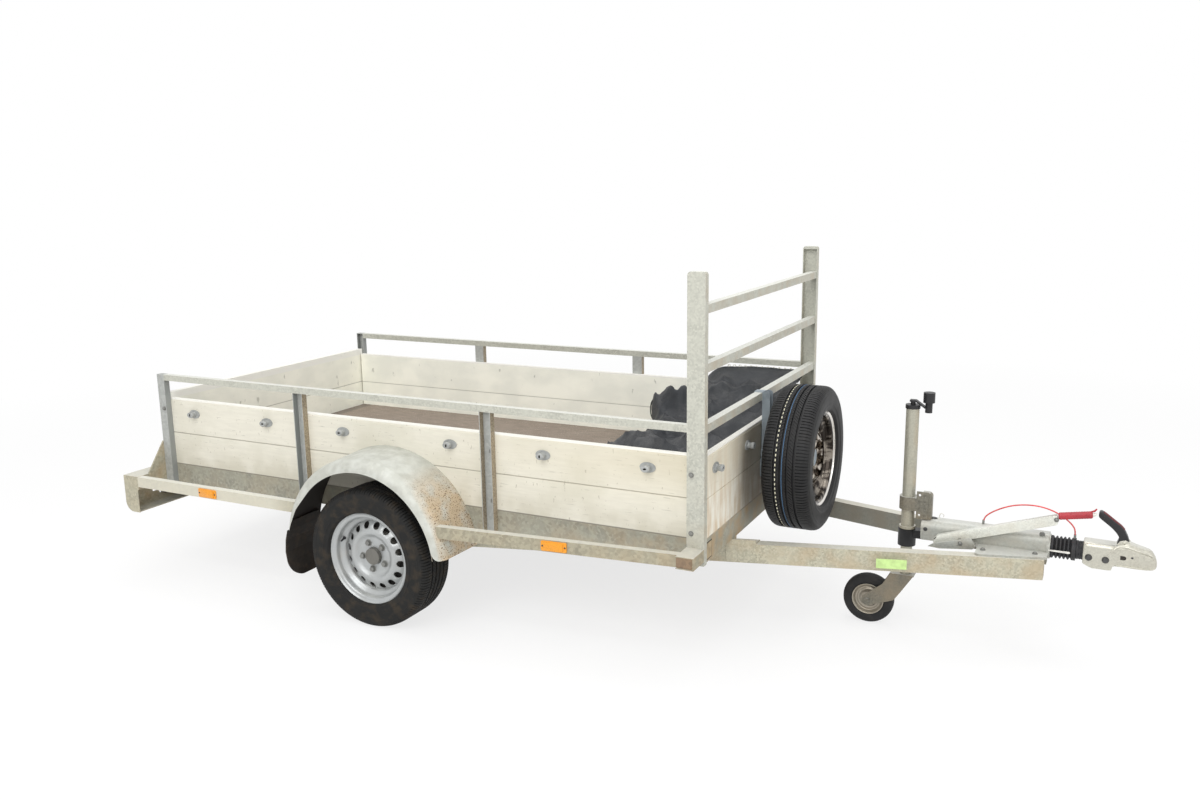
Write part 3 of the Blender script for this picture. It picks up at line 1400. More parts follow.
@dataclass
class SideMarkers:
    """The orange side markers on the outer bars, each with two screws."""

    size: Point = (0.1, 0.038, 0.008)
    height: float = 0.4375
    # middle of a marker in front of the axle, and the bar's outer face there
    rear: Pair = (-0.85, 0.8575)
    bar_ends: tuple[Pair, Pair] = ((0.336, 0.877), (1.267, 0.785))
    front_x: float = 0.812
    lens: Shape = field(default_factory=Shape)
    screws: Shape = field(default_factory=Shape)

    def marker(self, place: Vector, along: Vector, out: Vector) -> None:
        """Adds one marker.

        Args:
            place: Its middle, on the bar's face.
            along: The direction along the bar.
            out: The direction away from it.
        """
        length, height, thick = self.size
        self.lens.plate(place, along, out, (length, height), 0.005, (0, thick * 0.55))
        self.lens.plate(place, along, out, (length * 0.74, height * 0.84), 0.005, (thick * 0.5, thick))
        for end in (-1, 1):
            self.screws.rivet(place + along * end * length * 0.435 + out * thick * 0.54, out, 3.6, 2.2)

    def build(self) -> None:
        """Makes the four markers."""
        (x0, y0), (x1, y1) = self.bar_ends
        share = (self.front_x - x0) / (x1 - x0)
        for side in SIDES:
            rear = at(self.rear[0], side * self.rear[1], self.height)
            self.marker(rear, AHEAD, LEFT * side)
            along = Vector((x1 - x0, side * (y1 - y0), 0)).normalized()
            out = Vector((y0 - y1, side * (x1 - x0), 0)).normalized()
            front = at(self.front_x, side * (y0 + (y1 - y0) * share), self.height)
            self.marker(front, along, out)
        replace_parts(self.lens.make("marker_lenses", Coat.AMBER, bevel=0.0012), "side_markers")
        self.screws.make("marker_screws", Coat.IRON)


@dataclass
class RearLamps:
    """The lamp clusters and the blank number plate on the rear beam."""

    face_x: float = fore(-1.363)
    places: Pair = (-0.56, 0.56)
    height: float = 0.383
    size: Point = (0.236, 0.104, 0.038)
    rim: float = 0.007
    # finish, share of the width where the lens starts and ends, counted from the outer end
    lenses: tuple[tuple[Coat, float, float], ...] = (
        (Coat.AMBER, 0.03, 0.31), (Coat.RED_LENS, 0.33, 0.72), (Coat.CLEAR_LENS, 0.74, 0.97),
    )

    # how far in from the plate's outline its raised edge runs, and how far it rises
    EDGE = ((0.0, 0.0), (0.0, 0.0012), (0.004, 0.0012), (0.0055, 0.0))

    def build(self) -> None:
        """Makes the trays, their lenses and the plate's raised edge."""
        width, height, depth = self.size
        tray = Shape()
        glass = {coat: Shape() for coat, _, _ in self.lenses}
        for y in self.places:
            middle, outward = Vector((self.face_x, y, self.height)), math.copysign(width, y)
            tray.plate(middle, LEFT, AHEAD, (width, height), 0.012, (0.006, depth))
            for coat, start, end in self.lenses:
                centre = middle + LEFT * outward * (0.5 - (start + end) / 2)
                size = (width * (end - start), height - 2 * self.rim)
                glass[coat].plate(centre, LEFT, AHEAD, size, 0.006, (-0.0005, 0.02))
        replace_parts(tray.make("lamp_trays", Coat.RUBBER, bevel=0.002), "rear_lamps")
        for coat, shape in glass.items():
            shape.make(f"{coat.value.name}_panels", coat, bevel=0.003)
        low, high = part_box("number_plate")
        middle, size = (low + high) / 2, high - low
        rings = []
        for margin, rise in self.EDGE:
            outline = rounded(size.y - 2 * margin, size.z - 2 * margin, 0.008)
            rings.append([Vector((low.x - rise, middle.y + a, middle.z + b)) for a, b in outline])
        Shape().grid(rings, ring=True).make("plate_edge", Coat.PLATE)
        dress(Coat.PLATE, "number_plate")


@dataclass
class PostBolts:
    """The bolts that hold the posts to the walls and the chassis."""

    # place in front of the axle, height, then how deep the face that carries it lies, all in millimetres
    places: tuple[Point, ...] = (
        (462, 715, 675), (462, 520, 675), (-452, 715, 675), (-452, 520, 675), (1284, 722, 700),
        (1284, 512, 700), (-1244, 742, 700),
    )
    flats: float = 13.0
    stand: float = 8.0

    def build(self) -> None:
        """Makes the bolts of both sides."""
        shape = Shape()
        for side in SIDES:
            for x, z, y in self.places:
                shape.bolt(at_mm(x, side * y, z), LEFT * side, self.flats, self.stand)
        shape.make("post_bolts", Coat.BOLT, bevel=0.0004)


@dataclass
class BarEnds:
    """What closes the front ends of the outer bars, and the blank plate on the front cross member."""

    middle: Point = (1.298, 0.798, 0.4375)  # in front of the axle, to the side and up
    size: Point = (0.0605, 0.0375, 0.006)
    # the blank plate's right and left edges, bottom and top on the cross member's front face
    plate: tuple[float, float, float, float] = (-0.662, -0.606, 0.406, 0.47)
    face_x: float = fore(1.325)

    # name, finish, how far it is set in from the plate's edge and its thickness
    LAYERS = (
        ("type_plate_gasket", Coat.DUST_LINE, 0.0, 0.0008),
        ("blank_type_plate", Coat.STAMPED, 0.0035, 0.0014),
    )

    def build(self) -> None:
        """Makes the rusty end plates and the blank plate with its raised rim."""
        ends = Shape()
        x, y, z = self.middle
        width, height, thick = self.size
        for side in SIDES:
            ends.plate((fore(x), side * y, z), AHEAD, LEFT * side, (width, height), 0.006, (-thick, 0), 4)
        ends.make("bar_end_plates", Coat.RUST, bevel=0.0008)
        right, left, bottom, top = self.plate
        for name, coat, inset, lift in self.LAYERS:
            corners = ((right + inset, bottom + inset), (left - inset, bottom + inset),
                       (left - inset, top - inset), (right + inset, top - inset))
            plate = Shape().prism([Vector((self.face_x, y, z)) for y, z in corners], (lift, 0, 0))
            plate.make(name, coat)


@dataclass
class BedShell:
    """The bed: chassis, posts, rails, rack, walls, floor, tailgate and mudguards."""

    coats: tuple[tuple[Coat, tuple[str, ...]], ...] = (
        (Coat.ZINC, ("side_rail_left", "side_rail_right", "rack_bars", "rack_posts", "gate_straps", "gate_hinges",
                     "gate_latches")),
        (Coat.ZINC_BAR, ("side_bars",)),
        (Coat.ZINC_REAR, ("rear_beam",)),
        (Coat.CHASSIS, ("chassis_sides", "cross_members", "axle_beam")),
        (Coat.POST, ("side_posts_left", "side_posts_right")),
        (Coat.PLANK, ("side_wall_left", "side_wall_right", "front_wall", "tailgate")),
        (Coat.BOARD, ("floor_board",)),
        (Coat.GUARD, ("mudguard_left", "mudguard_right")),
        (Coat.FLAP, ("mud_flap_left", "mud_flap_right")),
        (Coat.BLUE_GREY, ("spare_bracket",)),
    )

    def build(self) -> None:
        """Dresses the solid pieces and adds the fittings on them."""
        for coat, nodes in self.coats:
            dress(coat, *nodes)
        TieKnobs().build()
        SideMarkers().build()
        RearLamps().build()
        PostBolts().build()
        BarEnds().build()


# -------- drawbar and coupling


def side_view(points: Sequence[Pair], y: float) -> list[Vector]:
    """Places side-view points, in millimetres in front of the axle and up, this many metres to the left."""
    return [at_mm(x, y / MILLIMETRE, z) for x, z in points]


@dataclass
class CouplingHead:
    """The pressed coupling: a boxed rear, a domed ball housing with a turned-out rim, bolts and handle."""

    # x in front of the axle, half width, top, bottom and corner radius, in millimetres
    stations: tuple[tuple[float, float, float, float, float], ...] = (
        (2500, 34.5, 442, 368, 17), (2503, 37, 444.5, 365.5, 17), (2520, 37, 444.5, 357, 16),
        (2532, 37, 444, 352.5, 16), (2585, 37, 443, 352.5, 16), (2593, 37, 443, 354, 16), (2597, 36, 443, 368, 17),
        (2606, 33, 444.5, 370, 18), (2620, 31, 449, 370, 20), (2636, 31, 454, 370, 22), (2646, 32, 453.5, 370, 23),
        (2662, 33, 448, 370, 25), (2682, 33, 442.5, 370, 27), (2700, 31.5, 437, 370, 27), (2712, 28, 431, 370, 25),
        (2721, 23, 423, 370, 21), (2727, 17, 413, 371, 16), (2731, 10, 402, 373, 9.5), (2733.5, 3, 391, 378, 2.8),
    )
    sheet: float = 5.0  # thickness
    corner_steps: int = 6
    bolt_places: tuple[Pair, ...] = ((2519, 391), (2573, 389))
    slot: tuple[float, float, float, float] = (2622, 402, 32, 15)  # middle, length and height
    # pressed ridge along the side: x and z
    ridge: tuple[Pair, ...] = (
        (2578, 404), (2590, 418), (2600, 432), (2612, 440), (2640, 441), (2668, 434), (2696, 428), (2714, 420),
        (2722, 406),
    )
    # the handle's outline, from its foot round its back
    handle: tuple[Pair, ...] = (
        (2604, 440), (2640, 446), (2641, 462), (2633, 482), (2622, 500), (2610, 512), (2592, 524), (2570, 541),
        (2551, 554), (2542, 551), (2541, 536), (2552, 525), (2572, 510), (2590, 495), (2603, 480), (2610, 466),
        (2606, 452),
    )
    handle_half: float = 0.0145
    ball: Point = (2686, 0, 385)
    shaft: Point = (2500, 0, 402)
    rim_half: float = 33.0

    # how far the rim round the ball housing stands out, and its height above the lower edge, in millimetres
    RIM = ((0.0, 0.0), (3.6, 0.0), (4.2, 1.5), (3.6, 3.5), (0.0, 4.5))
    # radius and height of the socket's inner and outer face, of the ring round the shaft and of a through bolt
    SOCKET = (
        ((25.4, -15), (25.4, 0), (22, 12.7), (12.7, 22), (0, 25.4)),
        ((30.5, -15), (30.5, 0), (27, 12.7), (16, 26), (0, 30.5)),
    )
    SHAFT_RIM = ((25.2, 0), (33, 0), (33, 6), (25.2, 6), (25.2, 0))
    BOLT = (
        ((12, 0), (12, 1.8), (9.5, 2), (9.5, 2.2)),
        ((9.8, 2), (9.8, 6), (8, 8.8), (0, 9.8)),
    )
    # side view of the handle's inlay and of the ears that it turns on
    PAD = ((2627, 497), (2614, 511), (2596, 524), (2575, 540), (2556, 553), (2553, 549), (2572, 536), (2593, 520),
           (2610, 507), (2622, 494))
    EAR = ((2600, 438), (2650, 440), (2646, 456), (2632, 463), (2614, 458))

    def section(self, station: tuple[float, ...], inset: float) -> list[Vector]:
        """Lists the points across the coupling from its right rim over the top to its left rim.

        Args:
            station: One of the stations.
            inset: How far inside the outer face the points lie.

        Returns:
            The points.
        """
        x, half, top, bottom, corner = station
        half, top = max(half - inset, 0.5), top - inset
        corner = min(corner, half, top - bottom)
        out = [(-half, bottom), (-half, (bottom + top - corner) / 2)]
        for start, side in ((180, -1), (90, 1)):
            for y, z in (polar(corner, a) for a in arc(self.corner_steps, start, start - 90)):
                out.append((side * (half - corner) + y, top - corner + z))
        out += [(half, (bottom + top - corner) / 2), (half, bottom)]
        return [at_mm(x, y, z) for y, z in out]

    def build(self) -> None:
        """Makes the head, its rim, ridges, bolts and handle."""
        shell = Shape()
        rows = []
        for station in self.stations:
            rows.append(self.section(station, 0) + self.section(station, min(self.sheet, station[1] * 0.7))[::-1])
        shell.grid(rows, ring=True)
        for row in (rows[0], rows[-1]):
            half = len(row) // 2
            for j in range(half - 1):
                shell.cap([row[j], row[j + 1], row[-2 - j], row[-1 - j]])
        self.add_rim(shell)
        for profile in self.SOCKET:
            shell.lathe(profile, at_mm(*self.ball), UP, 32)
        shell.lathe(self.SHAFT_RIM, at_mm(*self.shaft), AHEAD, 32)
        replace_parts(shell.make("coupling_shell", Coat.HEAD, sharp=50), "coupling_head")
        self.build_ridges()
        self.build_fittings()
        self.build_handle()

    def add_rim(self, shell: Shape) -> None:
        """Adds the turned-out rim round the ball housing.

        Args:
            shell: The shape that takes it.
        """
        right = [(x, -half, bottom) for x, half, _, bottom, _ in self.stations[7:]]
        outline = right + [(x, -y, z) for x, y, z in reversed(right)]
        start = right[0][0]
        rings = []
        for grow, lift in self.RIM:
            wider, longer = 1 + grow / self.rim_half, 1 + grow / 3000
            rings.append([at_mm(start + (x - start) * longer, y * wider, z + lift) for x, y, z in outline])
        shell.grid(rings)

    def skin_y(self, x: float) -> float:
        """Gives the half width of the head, in metres, at a place in millimetres."""
        return read_off([station[:2] for station in self.stations], x) * MILLIMETRE

    def build_ridges(self) -> None:
        """Makes the pressed ridge along each side."""
        shape = Shape()
        line = smooth_run(self.ridge, 4)
        for side in SIDES:
            path = [at(x * MILLIMETRE, side * (self.skin_y(x) - 0.0022), z * MILLIMETRE) for x, z in line]
            shape.tube(path, 0.0042, 10)
        shape.make("coupling_ridges", Coat.HEAD, sharp=60)

    def build_fittings(self) -> None:
        """Makes the through bolts, the wear slots and their rims."""
        bolts, dark = Shape(), Shape()
        x, z, length, height = (value * MILLIMETRE for value in self.slot)
        for side in SIDES:
            out = LEFT * side
            for place in side_view(self.bolt_places, side * 0.037):
                for profile in self.BOLT:
                    bolts.lathe(profile, place, out, 24)
            skin = (fore(x), side * (self.skin_y(self.slot[0]) + 0.0002), z)
            dark.plate(skin, AHEAD, out, (length, height), height * 0.49, (0, -0.004))
            bolts.rivet((fore(2.656), side * (self.skin_y(2656) - 0.0004), 0.407), out, 4.2, 1.6)
        bolts.make("coupling_bolts", Coat.DARK_BOLT, sharp=40)
        dark.make("coupling_slots", Coat.DUST_LINE, bevel=0.0005)

    def build_handle(self) -> None:
        """Makes the curved handle, its raised back and the ears that it turns on."""
        half = self.handle_half
        outline = side_view(smooth_run([*self.handle, self.handle[0]], 3)[:-1], -half)
        grip = Shape().prism(outline, LEFT * 2 * half)
        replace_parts(grip.make("coupling_lever", Coat.BLACK, bevel=0.0035, sharp=50), "coupling_handle")
        panel = Shape().prism(side_view(self.PAD, -0.0095), LEFT * 0.019)
        panel.make("coupling_lever_pad", Coat.INLAY, bevel=0.0015)
        ears = Shape()
        for side in SIDES:
            ears.prism(side_view(self.EAR, side * 0.015), LEFT * side * 0.004)
            ears.rivet((fore(2.627), side * 0.019, 0.4535), LEFT * side, 5, 3)
        ears.make("coupling_ears", Coat.HEAD, bevel=0.0012)


@dataclass
class Bellows:
    """The rubber bellows over the overrun shaft, with its ribs and its dimpled front collar."""

    # ends in front of the axle, height, radii and width of the end collars, in millimetres
    rear: float = 2393.0
    front: float = 2476.0
    height: float = 402.0
    crest: float = 40.5
    root: float = 32.5
    collar: float = 9.0
    ribs: int = 5
    dimples: int = 8

    # one rib: share of its length and of its rise
    WAVE = ((0.05, 0.85), (0.18, 0.25), (0.3, 0.0), (0.42, 0.1), (0.55, 0.55), (0.68, 0.92), (0.8, 1.0), (0.92, 0.97))
    # radius and place of the boot in front of the bellows
    BOOT = ((25.1, 0), (33, 0), (33.5, 2), (33.5, 8), (31.5, 10), (31.5, 18),
            (33.5, 20), (33.5, 23.5), (25.1, 23.5))

    def build(self) -> None:
        """Makes the bellows and the boot in front of it."""
        length = self.front - self.rear
        pitch = (length - 2 * self.collar) / self.ribs
        profile = [(26.0, 0.0), (self.crest - 1, 0.0), (self.crest, 1.0), (self.crest, self.collar - 1)]
        for i in range(self.ribs):
            start = self.collar + i * pitch
            for share, rise in self.WAVE:
                profile.append((self.root + (self.crest - self.root) * rise, start + share * pitch))
        profile += [(r, length - d) for r, d in reversed(profile[:4])]
        shape = Shape().lathe(profile, at_mm(self.rear, 0, self.height), AHEAD, 56)
        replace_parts(shape.make("rubber_bellows", Coat.RUBBER, sharp=55), "bellows")
        start = at_mm(self.front, 0, self.height)
        cuff = Shape().lathe(self.BOOT, start, AHEAD, 40)
        for a in turns(self.dimples):
            out = Vector((0, *polar(1, a + 0.6 * math.pi / self.dimples)))
            cuff.rivet(start + AHEAD * 0.014 + out * 0.0312, out, 4.2, 2.8)
        cuff.make("shaft_cuff", Coat.RUBBER, sharp=45)


@dataclass
class Handbrake:
    """The handbrake: a channel lever with a rounded front, its quadrant, bolts, red grip and button."""

    rear: Pair = (1.996, 0.388)
    front: Pair = (2.414, 0.524)
    y: float = -0.062
    width: float = 0.024
    height: float = 0.034
    sheet: float = 0.003
    front_round: float = 0.014
    grip_start: Pair = (2.414, 0.536)
    grip_end: Pair = (2.522, 0.555)
    # x and z in millimetres, how far it stands off the lever in metres and its width in millimetres
    bolts: tuple[tuple[float, float, float, float], ...] = ((2093, 393, 0.0045, 13), (2409, 525, 0.0, 11.5))

    # side view of the quadrant plate and of the block behind it
    QUADRANT = ((1978, 366), (2020, 363), (2136, 376), (2144, 385), (2140, 404), (2132, 414), (2122, 417), (2100, 411),
                (2060, 398), (2000, 382))
    BLOCK = ((2057, 384), (2125, 384), (2125, 412), (2057, 412))
    # how far the tab at the grip's end reaches past it and above its middle line
    TAB = ((-0.004, 0.008), (0.008, 0.0105), (0.016, 0.0185), (0.0135, 0.0215), (0.005, 0.0155), (-0.006, 0.0125))

    def build(self) -> None:
        """Makes every piece of the handbrake."""
        self.build_lever()
        self.build_grip()
        dress(Coat.HOUSING, "overrun_housing")
        dress(Coat.BOLT, "overrun_shaft")

    def course(self, rear: Pair, front: Pair) -> tuple[Vector, Vector, Vector, float]:
        """Works out how a straight part lies.

        Args:
            rear: Its rear end, in front of the axle and up.
            front: Its front end.

        Returns:
            Its rear end, its direction, the direction up from it and its length.
        """
        along = Vector((front[0] - rear[0], 0, front[1] - rear[1]))
        length = along.length
        along.normalize()
        return at(rear[0], self.y, rear[1]), along, Vector((-along.z, 0, along.x)), length

    def build_lever(self) -> None:
        """Makes the channel lever from its side cheeks and its top, and the quadrant beside it."""
        start, along, up, length = self.course(self.rear, self.front)
        half_w, half_h = self.width / 2, self.height / 2
        side_outline = [(0.000, -half_h + 0.01), (0.004, -half_h + 0.002), (0.012, -half_h),
                        (length - self.front_round, -half_h)]
        front = (polar(self.front_round, a) for a in arc(6, -80, 0))
        side_outline += [(length - self.front_round + x, self.front_round - half_h + z) for x, z in front]
        side_outline += [(length, half_h - 0.002), (length - 0.003, half_h), (0.02, half_h), (0.000, half_h - 0.012)]

        def beside(outline: Sequence[Pair], y: float) -> list[Vector]:
            """Places pairs of distance along and across the lever beside its middle line."""
            return [start + along * a + up * b + LEFT * y for a, b in outline]

        lever = Shape()
        for side in SIDES:
            lever.prism(beside(side_outline, side * half_w), LEFT * -side * self.sheet)
        top = [(0.002, half_h - 0.011), (0.021, half_h), (length - 0.003, half_h), (length - 0.001, half_h - 0.003),
               (length - 0.004, half_h - self.sheet), (0.022, half_h - self.sheet), (0.005, half_h - 0.014)]
        lever.prism(beside(top, -half_w), LEFT * self.width)
        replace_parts(lever.make("brake_lever", Coat.PLATED, bevel=0.0011, sharp=45), "handbrake_lever")
        quadrant = Shape().prism(side_view(self.QUADRANT, self.y - half_w - 0.0045), LEFT * 0.004)
        quadrant.prism(side_view(self.BLOCK, self.y + half_w), LEFT * 0.008)
        quadrant.make("brake_quadrant", Coat.HOUSING, bevel=0.0012)
        bolts = Shape()
        for x, z, lift, flats in self.bolts:
            place = at_mm(x, (self.y - half_w - lift) / MILLIMETRE, z)
            bolts.lathe([(8.5, 0), (8.5, 1.2), (0, 1.4)], place, -LEFT, 24)
            bolts.rivet(place - LEFT * 0.0012, -LEFT, flats / 2, 4.2)
        bolts.lathe([(8, 0), (8, 37), (0, 37)], (fore(2.091), self.y - half_w - 0.004, 0.404), LEFT, 20)
        bolts.make("brake_bolts", Coat.BOLT, sharp=40)

    def build_grip(self) -> None:
        """Makes the red grip with its finger ribs, the white button and the tab at its end."""
        start, along, up, length = self.course(self.grip_start, self.grip_end)
        rows = []
        for share in spaced(0, 1, 60):
            ribbed = 0.08 < share < 0.92
            scale = min(1.0, 0.72 + 9 * min(share, 1 - share)) * (1 + 0.022 * math.cos(share * math.pi * 26) * ribbed)
            middle = start + along * share * length
            rows.append([middle + (LEFT * a + up * b) * scale for a, b in rounded(0.026, 0.0245, 0.0095, 4)])
        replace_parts(Shape().closed(rows).make("brake_grip", Coat.RED_GRIP, sharp=55), "handbrake_grip")
        tip = start + along * (length + 0.0005)
        button = Shape().lathe([(0, 0), (6.2, 0), (6.2, 10), (4.8, 12.5), (0, 13)], tip, along, 20)
        button.make("brake_button", Coat.WHITE, sharp=40)
        tab = Shape().prism([tip + along * a + up * b - LEFT * 0.004 for a, b in self.TAB], LEFT * 0.008)
        tab.make("brake_tab", Coat.RED_GRIP, bevel=0.0008)


@dataclass
class JockeyWheel:
    """The jockey wheel: tyre, pressed wheel, fork, tubes, clamp and crank."""

    hub: Point = (fore(1.755), 0.0, 0.098)
    nut_y: float = 0.033

    # radius and half width, from the tyre's bead to its crown and from the hub out to the rim's lip
    TYRE = ((60.5, -18), (64, -20.5), (70, -22.5), (80, -24.5), (87, -23.5), (92.5, -20.5),
            (96, -15), (97.6, -8), (98, 0))
    FACE = (
        (8.5, -28.5), (13.5, -28.5), (15, -27), (15, -15), (19, -10.5), (30, -9.8),
        (34.5, -12.5), (40, -12.8), (44, -10), (49, -9.8), (53, -15), (56, -20),
        (59.5, -22.5), (61.5, -21.5), (61, -18.5),
    )

    def build(self) -> None:
        """Makes the wheel and dresses the solid pieces above it."""
        tyre = self.whole(self.TYRE, self.TYRE[-2::-1], 72)
        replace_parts(tyre.make("jockey_rubber", Coat.JOCKEY_RUBBER, "jockey_wheel", sharp=60), "jockey_tyre")
        face = smooth_run(self.FACE, 2)
        disc = self.whole(face, face[::-1], 64)
        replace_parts(disc.make("jockey_pressing", Coat.JOCKEY_SILVER, "jockey_wheel", sharp=50), "jockey_rim")
        axle = Shape()
        for side in SIDES:
            axle.bolt(Vector(self.hub) + LEFT * side * self.nut_y, LEFT * side, 13, 5.5)
        axle.make("jockey_axle_nuts", Coat.BOLT, "jockey_swivel", bevel=0.0004)
        dress(Coat.COLUMN, "jockey_tube", "jockey_inner_tube")
        dress(Coat.FORK, "jockey_fork", "jockey_bracket")
        dress(Coat.BLACK, "jockey_clamp", "jockey_crank")

    def whole(self, right: Sequence[Pair], left: Sequence[Pair], steps: int) -> Shape:
        """Turns a section about the hub: its right side's radii and offsets, then the mirror images of the left's."""
        section = [*right, *((r, -w) for r, w in left), right[0]]
        return Shape().lathe(section, self.hub, LEFT, steps)


@dataclass
class Drawbar:
    """The drawbar beams, the blank label on one of them and the small fittings of the brake housing."""

    # middle line of the beam on the right: x in front of the axle and distance to the side, rear then front
    rear: Pair = (1.325, 0.387)
    front: Pair = (2.38, 0.108)
    half_width: float = 0.0225
    label_x: Pair = (1.827, 1.93)
    label_z: Pair = (0.326, 0.362)
    # bolts through the housing's flange and points of the wire hook, in millimetres
    flange_bolts: tuple[Point, ...] = (
        (2347, -73, 390), (2175, -106, 390), (2364, -27, 452), (2347, 73, 390), (2175, 106, 390),
    )
    washer: tuple[Pair, ...] = ((9.5, 0), (9.5, 1.4), (0, 1.6))
    hook: tuple[Point, ...] = (
        (2006, 0, 450), (2004, 1, 462), (2010, 0, 474), (2020, -1, 470), (2019, 0, 461),
    )

    # x and z of the white strap's outline, on the cuff's side
    STRAP = ((2388, 398.5), (2456, 396.5), (2460, 400.5), (2456, 404.5), (2388, 403.5))

    def build(self) -> None:
        """Dresses the beams and adds what is fixed on them."""
        dress(Coat.ZINC_BEAM, "drawbar_beams")
        self.build_label()
        bolts = Shape()
        for x, y, z in self.flange_bolts:
            bolts.lathe(self.washer, at_mm(x, y, z), UP, 24)
            bolts.bolt(at_mm(x, y, z + 1.4), UP, 13, 5.5)
        bolts.make("housing_bolts", Coat.BOLT, bevel=0.0004)
        plug = Shape()
        top = at(1.983, 0, 0.452)
        for scale, lift in ((1.0, 0.0022), (0.8, 0.0042)):
            ring = [top + Vector((0.015 * scale * math.cos(a), 0.0095 * scale * math.sin(a), 0)) for a in turns(28)]
            plug.prism(ring, UP * lift)
        plug.lathe([(7.8, 0), (7.8, 1.2), (5.2, 1.8), (0, 1.2)], (fore(1.962), -0.042, 0.419), -LEFT, 20)
        plug.make("housing_plugs", Coat.DARK_BOLT, bevel=0.0004)
        wire = Shape().tube([at_mm(*knot) for knot in smooth_run(self.hook, 4)], 0.0016, 8)
        wire.make("wire_hook", Coat.WHITE, sharp=60)
        strap = Shape().prism(side_view(self.STRAP, -0.0462), LEFT * 0.0012)
        strap.make("cuff_strap", Coat.WHITE)

    def build_label(self) -> None:
        """Makes the blank label on the outer face of the right beam."""
        run, inward = self.front[0] - self.rear[0], self.rear[1] - self.front[1]
        out = Vector((inward, -run, 0)).normalized()
        start = at(self.rear[0], -self.rear[1], 0) + out * self.half_width
        ends = [start + Vector((run, inward, 0)) * ((x - self.rear[0]) / run) for x in self.label_x]
        low, high = (UP * z for z in self.label_z)
        label = Shape().prism([ends[0] + low, ends[1] + low, ends[1] + high, ends[0] + high], out * 0.0005)
        label.make("blank_label", Coat.LABEL)


# -------- folded cover


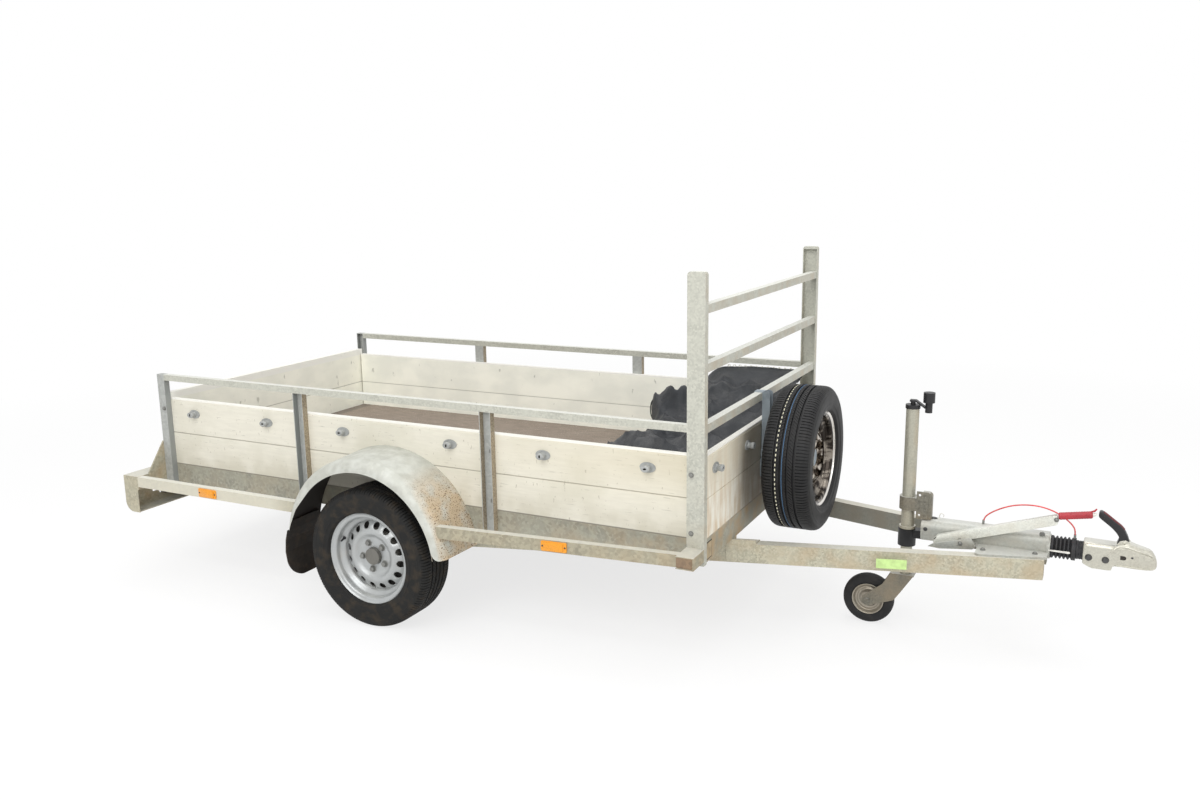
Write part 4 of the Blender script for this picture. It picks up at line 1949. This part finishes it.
@dataclass
class FoldedCover:
    """The cloth cover: folded in layers in the front of the bed, its far edge laced to the far rail."""

    # for eight lines along the bed, the distance across it, then the x in front of the axle and the height of
    # seven points of the top layer, from its rear foot to its front, in millimetres
    stations: tuple[tuple[float, tuple[Pair, ...]], ...] = (
        (-642, ((700, 506), (700, 520), (720, 535), (780, 550), (950, 600), (1150, 650), (1292, 670))),
        (-400, ((660, 506), (660, 530), (680, 560), (740, 590), (950, 645), (1150, 675), (1292, 685))),
        (-50, ((600, 506), (600, 545), (622, 612), (770, 698), (890, 703), (1050, 706), (1292, 720))),
        (150, ((590, 506), (590, 560), (620, 600), (700, 645), (850, 668), (1050, 715), (1292, 740))),
        (300, ((690, 506), (705, 580), (690, 640), (740, 695), (840, 735), (1050, 770), (1292, 775))),
        (420, ((700, 506), (705, 600), (643, 735), (704, 792), (807, 816), (1050, 822), (1292, 800))),
        (540, ((680, 506), (690, 600), (665, 695), (705, 742), (800, 785), (950, 838), (1292, 835))),
        (640, ((690, 506), (690, 600), (680, 690), (720, 735), (800, 780), (920, 848), (1292, 852))),
    )
    layers: int = 5
    flat: Pair = (1.55, 2.75)
    hem_y: float = 0.666
    eyelet_z: float = 0.858
    wall_top: float = 0.785
    fold_depth: float = 0.036
    creased: int = 64  # how many points of each row, from its top front edge, are creased
    laced_width: float = 0.16  # how far from the rail the pull of its lacing flattens the folds
    eyelets: Point = (0.93, 1.28, 0.025)  # first, last and the step between them
    # points of the loop, in millimetres
    loop_knots: tuple[Point, ...] = (
        (653, 412, 722), (645, 408, 705), (642, 405, 675), (648, 402, 645), (664, 400, 618),
    )
    # kinds of crease: how fine along the slant and across it, where the pattern starts, its level and its depth
    CREASES = ((11.0, 3.2, 0.0, 1.7, 2.6), (5.0, 12.0, 3.0, 8.3, 1.3), (30.0, 17.0, 0.0, 3.1, 0.5))
    RING = ((3.5, 0), (7.5, -1.2), (7.5, -2.2), (3.5, -2.6), (3.5, 0))

    def wrinkle(self, spot: Vector, strength: float) -> Vector:
        """Moves a point of the cloth by its creases.

        Args:
            spot: The point.
            strength: How deep the creases are there, in metres.

        Returns:
            The point's shift.
        """
        slant = spot.x * 0.8 + spot.y * 0.6
        cross = spot.y * 0.8 - spot.x * 0.6
        depths = (abs(noise.noise(Vector((slant * fine + start, cross * thin, level)))) * deep
                  for fine, thin, start, level, deep in self.CREASES)
        return UP * -strength * min(1.7, sum(depths))

    def run(self, knots: Sequence[Point]) -> list[Vector]:
        """Follows the cloth from its top front edge down through its folded layers.

        Args:
            knots: The top layer's points at one station, from the rear foot to the front.

        Returns:
            The points of the whole folded length.
        """
        top = [at_mm(*knot) for knot in smooth_run(knots, 9)]
        foot, floor_z = top[0].x, 0.506
        line = top[::-1]
        front_x = top[-1].x
        for layer in range(1, self.layers):
            share = 1 - layer / self.layers
            start = (line[-1].x, front_x - 0.012 * layer)[layer % 2 == 0]
            end = (front_x - 0.012 * layer, foot + 0.03 * layer)[layer % 2 == 0]
            for x in spaced(start, end, 34):
                here = min(max((x - foot) / max(front_x - foot, 0.01), 0), 1)
                above = top[min(int(here * 0.55 * len(top) + 0.45 * len(top)), len(top) - 1)]
                z = floor_z + (above.z - 0.02 - floor_z) * share * (0.35 + 0.65 * min(1, here * 4))
                line.append(Vector((x, above.y, z)))
        return line

    def build(self) -> None:
        knot_rows = [[(x, y, z) for x, z in points] for y, points in self.stations]
        across_runs = [smooth_run(column, 10) for column in zip(*knot_rows)]
        rows = [self.run(knots) for knots in zip(*across_runs)]
        for row in rows:
            for spot in row[:self.creased]:
                above = min(1.0, max(0.0, (spot.z - 0.53) / 0.1))
                laced = min(1.0, max(0.0, (self.hem_y - 0.01 - spot.y) / self.laced_width))
                spot += self.wrinkle(spot, self.fold_depth * above * laced)
        hem = []
        for spot in rows[-1]:
            lift = min(1.0, max(0.0, (spot.z - self.wall_top - 0.004) / 0.03))
            hem.append(Vector((spot.x, spot.y + (self.hem_y - spot.y) * lift, spot.z + 0.01 * lift)))
        rows.append(hem)
        piece = Shape().grid(rows).make("folded_cover", Coat.CLOTH, sharp=60)
        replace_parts(piece, "cover")
        loop = Shape().tube([at_mm(*knot) for knot in smooth_run(self.loop_knots, 5)], 0.0026, 8)
        elastic = loop.make("cover_loop", Coat.RUBBER, sharp=60)
        rings = Shape()
        first, last, step = self.eyelets
        for x in spaced(first, last, int((last - first) / step) + 1):
            rings.lathe(self.RING, (fore(x), self.hem_y, self.eyelet_z), LEFT, 14)
        lace = rings.make("cover_eyelets", Coat.WHITE)


def main() -> None:
    """Builds the camera, the studio and every sub-assembly of the trailer in order."""
    logging.basicConfig(level=logging.INFO, format="%(name)s: %(message)s")
    Camera().build()
    Studio().build()
    BreakawayCable().build()
    for side in SIDES:
        RoadWheel(side).build()
    SpareWheel().build()
    BedShell().build()
    Drawbar().build()
    CouplingHead().build()
    Bellows().build()
    Handbrake().build()
    JockeyWheel().build()
    FoldedCover().build()


if __name__ == "__main__":
    main()
